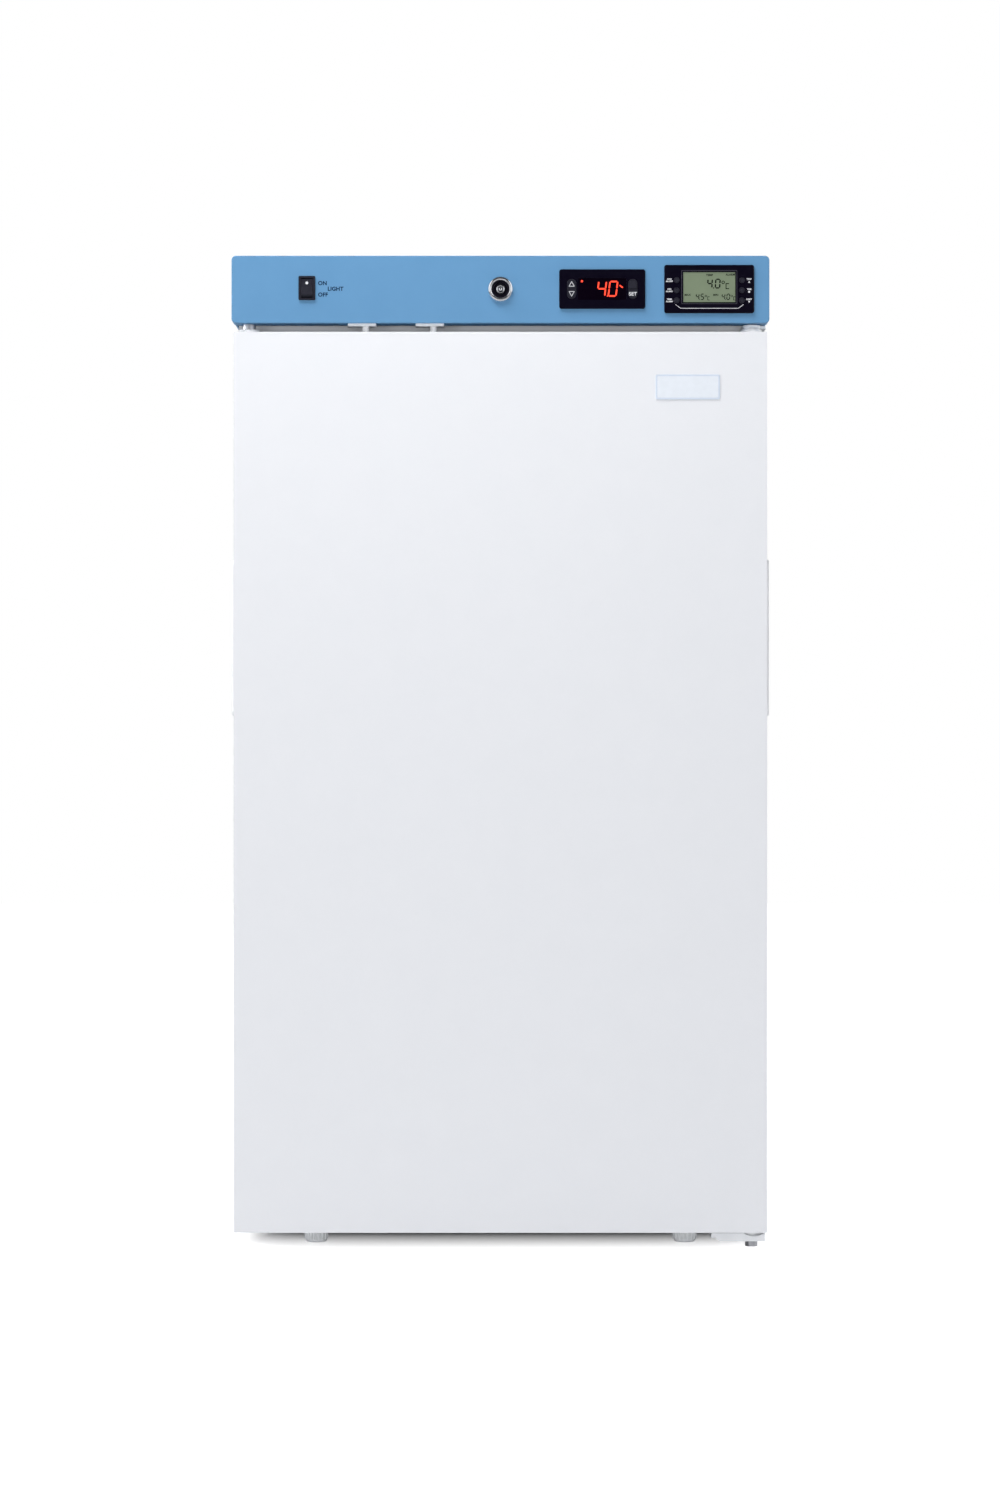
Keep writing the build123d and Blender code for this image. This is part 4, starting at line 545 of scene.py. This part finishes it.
def makeController():
    centre = middleOf("controller_case")
    cx, cz = centre.x / mm, centre.z / mm
    window = frontOf("controller_display")
    height, width, bar = controller["digitHeight"], controller["digitWidth"], controller["bar"]
    lit = segmentDigit("4", cx + controller["fourX"], cz + controller["digitZ"], width, height, bar)
    lit += segmentDigit("0", cx + controller["zeroX"], cz + controller["digitZ"], width, height, bar)
    pointZ = cz + controller["digitZ"] - height / 2 + bar / 2
    lit.append(disc(cx + controller["pointX"], pointZ, 0.45 * bar))
    degreeX, degreeZ = cx + controller["degreeX"], cz + controller["degreeZ"]
    wide, tall = controller["degreeHalf"]
    lit += stroke([(degreeX - wide, degreeZ + tall), (degreeX + wide, degreeZ - tall)],
                  controller["degreeLine"])
    platform("controller_digits", lit, window, controller["litThick"], "ledRed", "cabinet")
    lamp = disc(cx + controller["ledX"], cz + controller["ledZ"], controller["ledRadius"])
    platform("controller_led", [lamp], window, controller["litThick"], "ledRed", "cabinet")
    wide, tall = controller["arrowWidth"] / 2, controller["arrowHeight"] / 2
    for node, way in (("key_up", 1), ("key_down", -1)):
        key = middleOf(node)
        kx, kz = key.x / mm, key.z / mm
        corners = [(kx - wide, kz - way * tall), (kx, kz + way * tall), (kx + wide, kz - way * tall),
                   (kx - wide, kz - way * tall)]
        outline = stroke(corners, controller["keyLine"])
        platform(node + "_arrow", outline, frontOf(node), controller["inkThick"], "whiteInk", node)
    key = middleOf("key_set")
    height = controller["setHeight"]
    words("key_set_word", "SET", key.x / mm, key.z / mm - height / 2, height, frontOf("key_set"),
          "whiteInk", "key_set", "CENTER", 0.10)


makeController()


# Alarm thermometer: dark segments on the liquid crystal, plain marks round it

alarm = {
    "bigHeight": 8.8,
    "bigWidth": 5.0,
    "bigBar": 1.25,
    "bigX": (0.6, 7.4),
    "bigZ": 4.7,
    "smallHeight": 5.6,
    "smallWidth": 3.2,
    "smallBar": 0.85,
    "smallZ": -6.8,
    "leftX": (-10.2, -6.0),
    "rightX": (12.4, 16.6),
    "labelX": 34.8,
    "leftWords": (("MAX", "ALARM"), ("MIN", "ALARM"), ("TEMP", "ALARM")),
    "rightWords": ("TEMP", "TIME", "RESET"),
    "arrowHalf": 0.95,
    "windowWords": (("alarm_max", "MAX", -21.6, -6.0), ("alarm_min", "MIN", 3.4, -6.0),
                    ("alarm_temp", "TEMP", -2.8, 11.3), ("alarm_word", "ALARM", 14.4, 11.7)),
    "windowWordHeight": 1.7,
    "labelHeight": 1.25,
    "labelRaise": 0.35,  # from the middle of the button to the foot of its first word
    "labelStep": 1.9,
    "markDrop": 1.3,
    "boldness": 0.08,
    "frameInset": 1.4,
    "frameLine": 0.3,
    "bracket": ((-29.3, -13.7), (-24.9, -16.9), (25.3, -16.9), (29.7, -13.7)),
    "bracketLine": 0.45,
    "inkThick": 0.05,
    "digitThick": 0.08,
}


def reading(digits, places, z, width, height, bar):
    # two digits with a point between them, a degree ring and a C
    shapes = []
    for digit, x in zip(digits, places):
        shapes += segmentDigit(digit, x, z, width, height, bar, 0.06)
    pointX = (places[0] + places[1]) / 2 - 0.05 * width
    shapes.append(disc(pointX, z - height / 2 + bar / 2, 0.45 * bar, 12))
    ringX, ringZ = places[1] + width * 0.95, z + height * 0.02
    ring = disc(ringX, ringZ + height * 0.10, 0.13 * height, 14)
    shapes += stroke(ring + ring[:1], 0.07 * height)
    cX, cW, cH = ringX + 0.50 * width, 0.45 * width, 0.5 * height
    shapes += stroke([(cX + cW, z), (cX, z), (cX, z - cH), (cX + cW, z - cH)], 0.09 * height)
    return shapes


def makeAlarm():
    centre = middleOf("alarm_case")
    cx, cz = centre.x / mm, centre.z / mm
    window = frontOf("alarm_lcd")
    bigX = [cx + x for x in alarm["bigX"]]
    dark = reading("40", bigX, cz + alarm["bigZ"], alarm["bigWidth"], alarm["bigHeight"], alarm["bigBar"])
    small = (cz + alarm["smallZ"], alarm["smallWidth"], alarm["smallHeight"], alarm["smallBar"])
    dark += reading("45", [cx + x for x in alarm["leftX"]], *small)
    dark += reading("40", [cx + x for x in alarm["rightX"]], *small)
    platform("alarm_reading", dark, window, alarm["digitThick"], "lcdInk", "cabinet")
    bold = alarm["boldness"]
    for name, text, x, z in alarm["windowWords"]:
        words(name, text, cx + x, cz + z, alarm["windowWordHeight"], window, "lcdInk", "cabinet",
              boldness=bold)

    low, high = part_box("alarm_lcd")
    line, inset = alarm["frameLine"], alarm["frameInset"]
    left, right = low.x / mm - inset, high.x / mm + inset
    foot, top = low.z / mm - inset, high.z / mm + inset
    face, thick = frontOf("alarm_case"), alarm["inkThick"]
    frameLines = stroke([(left, foot), (left, top), (right, top), (right, foot), (left, foot)], line)
    platform("alarm_window_line", frameLines, face, thick, "greyInk", "cabinet")
    height, rise = alarm["labelHeight"], alarm["labelRaise"]
    for row, node in enumerate(("button_left_top", "button_left_middle", "button_left_bottom")):
        z = middleOf(node).z / mm
        for level, text in enumerate(alarm["leftWords"][row]):
            foot = z + rise - alarm["labelStep"] * level
            words(f"{node}_word_{level}", text, cx - alarm["labelX"], foot, height, face,
                  "whiteInk", "cabinet", "CENTER", bold)
        words(f"{node}_word_right", alarm["rightWords"][row], cx + alarm["labelX"], z + rise, height,
              face, "whiteInk", "cabinet", "CENTER", bold)
    marks = []
    topZ, middleZ, lowZ = (
        middleOf(f"button_right_{row}").z / mm - alarm["markDrop"] for row in ("top", "middle", "bottom")
    )
    x, half = cx + alarm["labelX"], alarm["arrowHalf"]
    marks.append([(x - half, topZ - half), (x + half, topZ - half), (x, topZ + half)])
    marks.append(disc(x, middleZ, half, 12))
    marks.append([(x - half, lowZ + half), (x, lowZ - half), (x + half, lowZ + half)])
    marks += stroke([(cx + x, cz + z) for x, z in alarm["bracket"]], alarm["bracketLine"])
    platform("alarm_marks", marks, face, thick, "whiteInk", "cabinet")


makeAlarm()
print("instruments ready")


# Light switch: its dot and the three words beside it

lightSwitch = {
    "dotRadius": 1.25,
    "dotZ": 847.9,
    "onPlace": (-159.3, 846.3),
    "offPlace": (-159.3, 836.3),
    "lightPlace": (-151.0, 841.4),
    "letterHeight": 3.3,
    "boldness": 0.14,
    "dotThick": 0.08,
}


def surfaceAt(node, x, z):
    # where a ray from the front meets the node, and which way the surface faces there
    hit, place, normal, _ = nodes[node].ray_cast(Vector((x * mm, -1.0, z * mm)), Vector((0, 1, 0)))
    assert hit, node
    return place, normal


def makeLightSwitch():
    height = lightSwitch["letterHeight"]
    for name, text, (x, z) in (
        ("word_on", "ON", lightSwitch["onPlace"]),
        ("word_off", "OFF", lightSwitch["offPlace"]),
        ("word_light", "LIGHT", lightSwitch["lightPlace"]),
    ):
        words(name, text, x, z, height, frontY, "navyInk", "cabinet", boldness=lightSwitch["boldness"])
    middle = middleOf("light_switch_rocker")
    place, normal = surfaceAt("light_switch_rocker", middle.x / mm, lightSwitch["dotZ"])
    dot = platform("rocker_dot", [disc(0, 0, lightSwitch["dotRadius"])], 0.0, lightSwitch["dotThick"],
                   "whiteInk", "light_switch_rocker")
    dot.rotation_euler = Vector((0, -1, 0)).rotation_difference(normal).to_euler()
    dot.location = place


makeLightSwitch()


# Lock: the rounded crown of its chrome bezel, and the key post in the middle of its black plug

lockFront = {
    # corners of each turned section: distance from the axis, and how far in front of the face behind it
    "crown": ((7.85, -0.20), (8.00, 0.25), (8.45, 0.62), (9.10, 0.80), (9.75, 0.66), (10.30, 0.28),
              (10.75, -0.30), (10.98, -0.95), (10.98, -1.30)),
    "post": ((2.40, -0.10), (2.45, 0.18), (2.75, 0.36), (3.10, 0.40), (3.40, 0.30), (3.66, 0.02),
             (3.70, -0.10)),
    "pin": ((0.00, 0.42), (0.70, 0.38), (1.20, 0.26), (1.60, 0.00), (1.65, -0.10), (0.00, -0.10)),
    "turns": 64,
}


def turned(name, x, z, frontFace, section, material, body):
    # a shape of revolution whose axis points to the front, with a closed section
    mesh = bmesh.new()
    turns = lockFront["turns"]
    rings = []
    for step in range(turns):
        angle = 2 * math.pi * step / turns
        across, up = math.cos(angle), math.sin(angle)
        rings.append([
            mesh.verts.new(((x + r * across) * mm, frontFace - proud * mm, (z + r * up) * mm))
            for r, proud in section
        ])
    for step in range(turns):
        here, there = rings[step], rings[(step + 1) % turns]
        for corner in range(len(section)):
            after = (corner + 1) % len(section)
            if section[corner][0] or section[after][0]:
                face = mesh.faces.new((here[corner], there[corner], there[after], here[after]))
                face.smooth = after > 0
    bmesh.ops.remove_doubles(mesh, verts=mesh.verts, dist=1e-6)
    bmesh.ops.recalc_face_normals(mesh, faces=mesh.faces)
    data = bpy.data.meshes.new(name)
    mesh.to_mesh(data)
    mesh.free()
    data.materials.append(materials[material])
    piece = bpy.data.objects.new(name, data)
    bpy.context.scene.collection.objects.link(piece)
    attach(piece, body)


def makeLockFront():
    middle = middleOf("lock_body")
    x, z = middle.x / mm, middle.z / mm
    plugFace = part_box("lock_plug")[0].y
    turned("lock_crown", x, z, frontOf("lock_body"), lockFront["crown"], "chrome", "cabinet")
    turned("lock_post", x, z, plugFace, lockFront["post"], "chrome", "lock")
    turned("lock_pin", x, z, plugFace, lockFront["pin"], "chrome", "lock")


makeLockFront()


# The bare plate on the door

plate = {
    "x": 163.6,
    "z": 757.2,
    "width": 56.3,
    "height": 21.8,
    "corner": 1.6,
    "innerCorner": 0.96,
    "thick": 1.0,
    "faceThick": 0.05,
    "inset": 1.6,
    "bevel": 0.35,
}


def makePlate():
    outside = roundedOutline(plate["x"], plate["z"], plate["width"], plate["height"], plate["corner"])
    platform("door_plate", [outside], doorY, plate["thick"], "plateClear", "door", plate["bevel"])
    inset = plate["inset"]
    inside = roundedOutline(plate["x"], plate["z"], plate["width"] - 2 * inset,
                            plate["height"] - 2 * inset, plate["innerCorner"])
    faceY = doorY - plate["thick"] * mm
    platform("door_plate_face", [inside], faceY, plate["faceThick"], "plateFace", "door")


makePlate()
print("words, marks and plate ready")
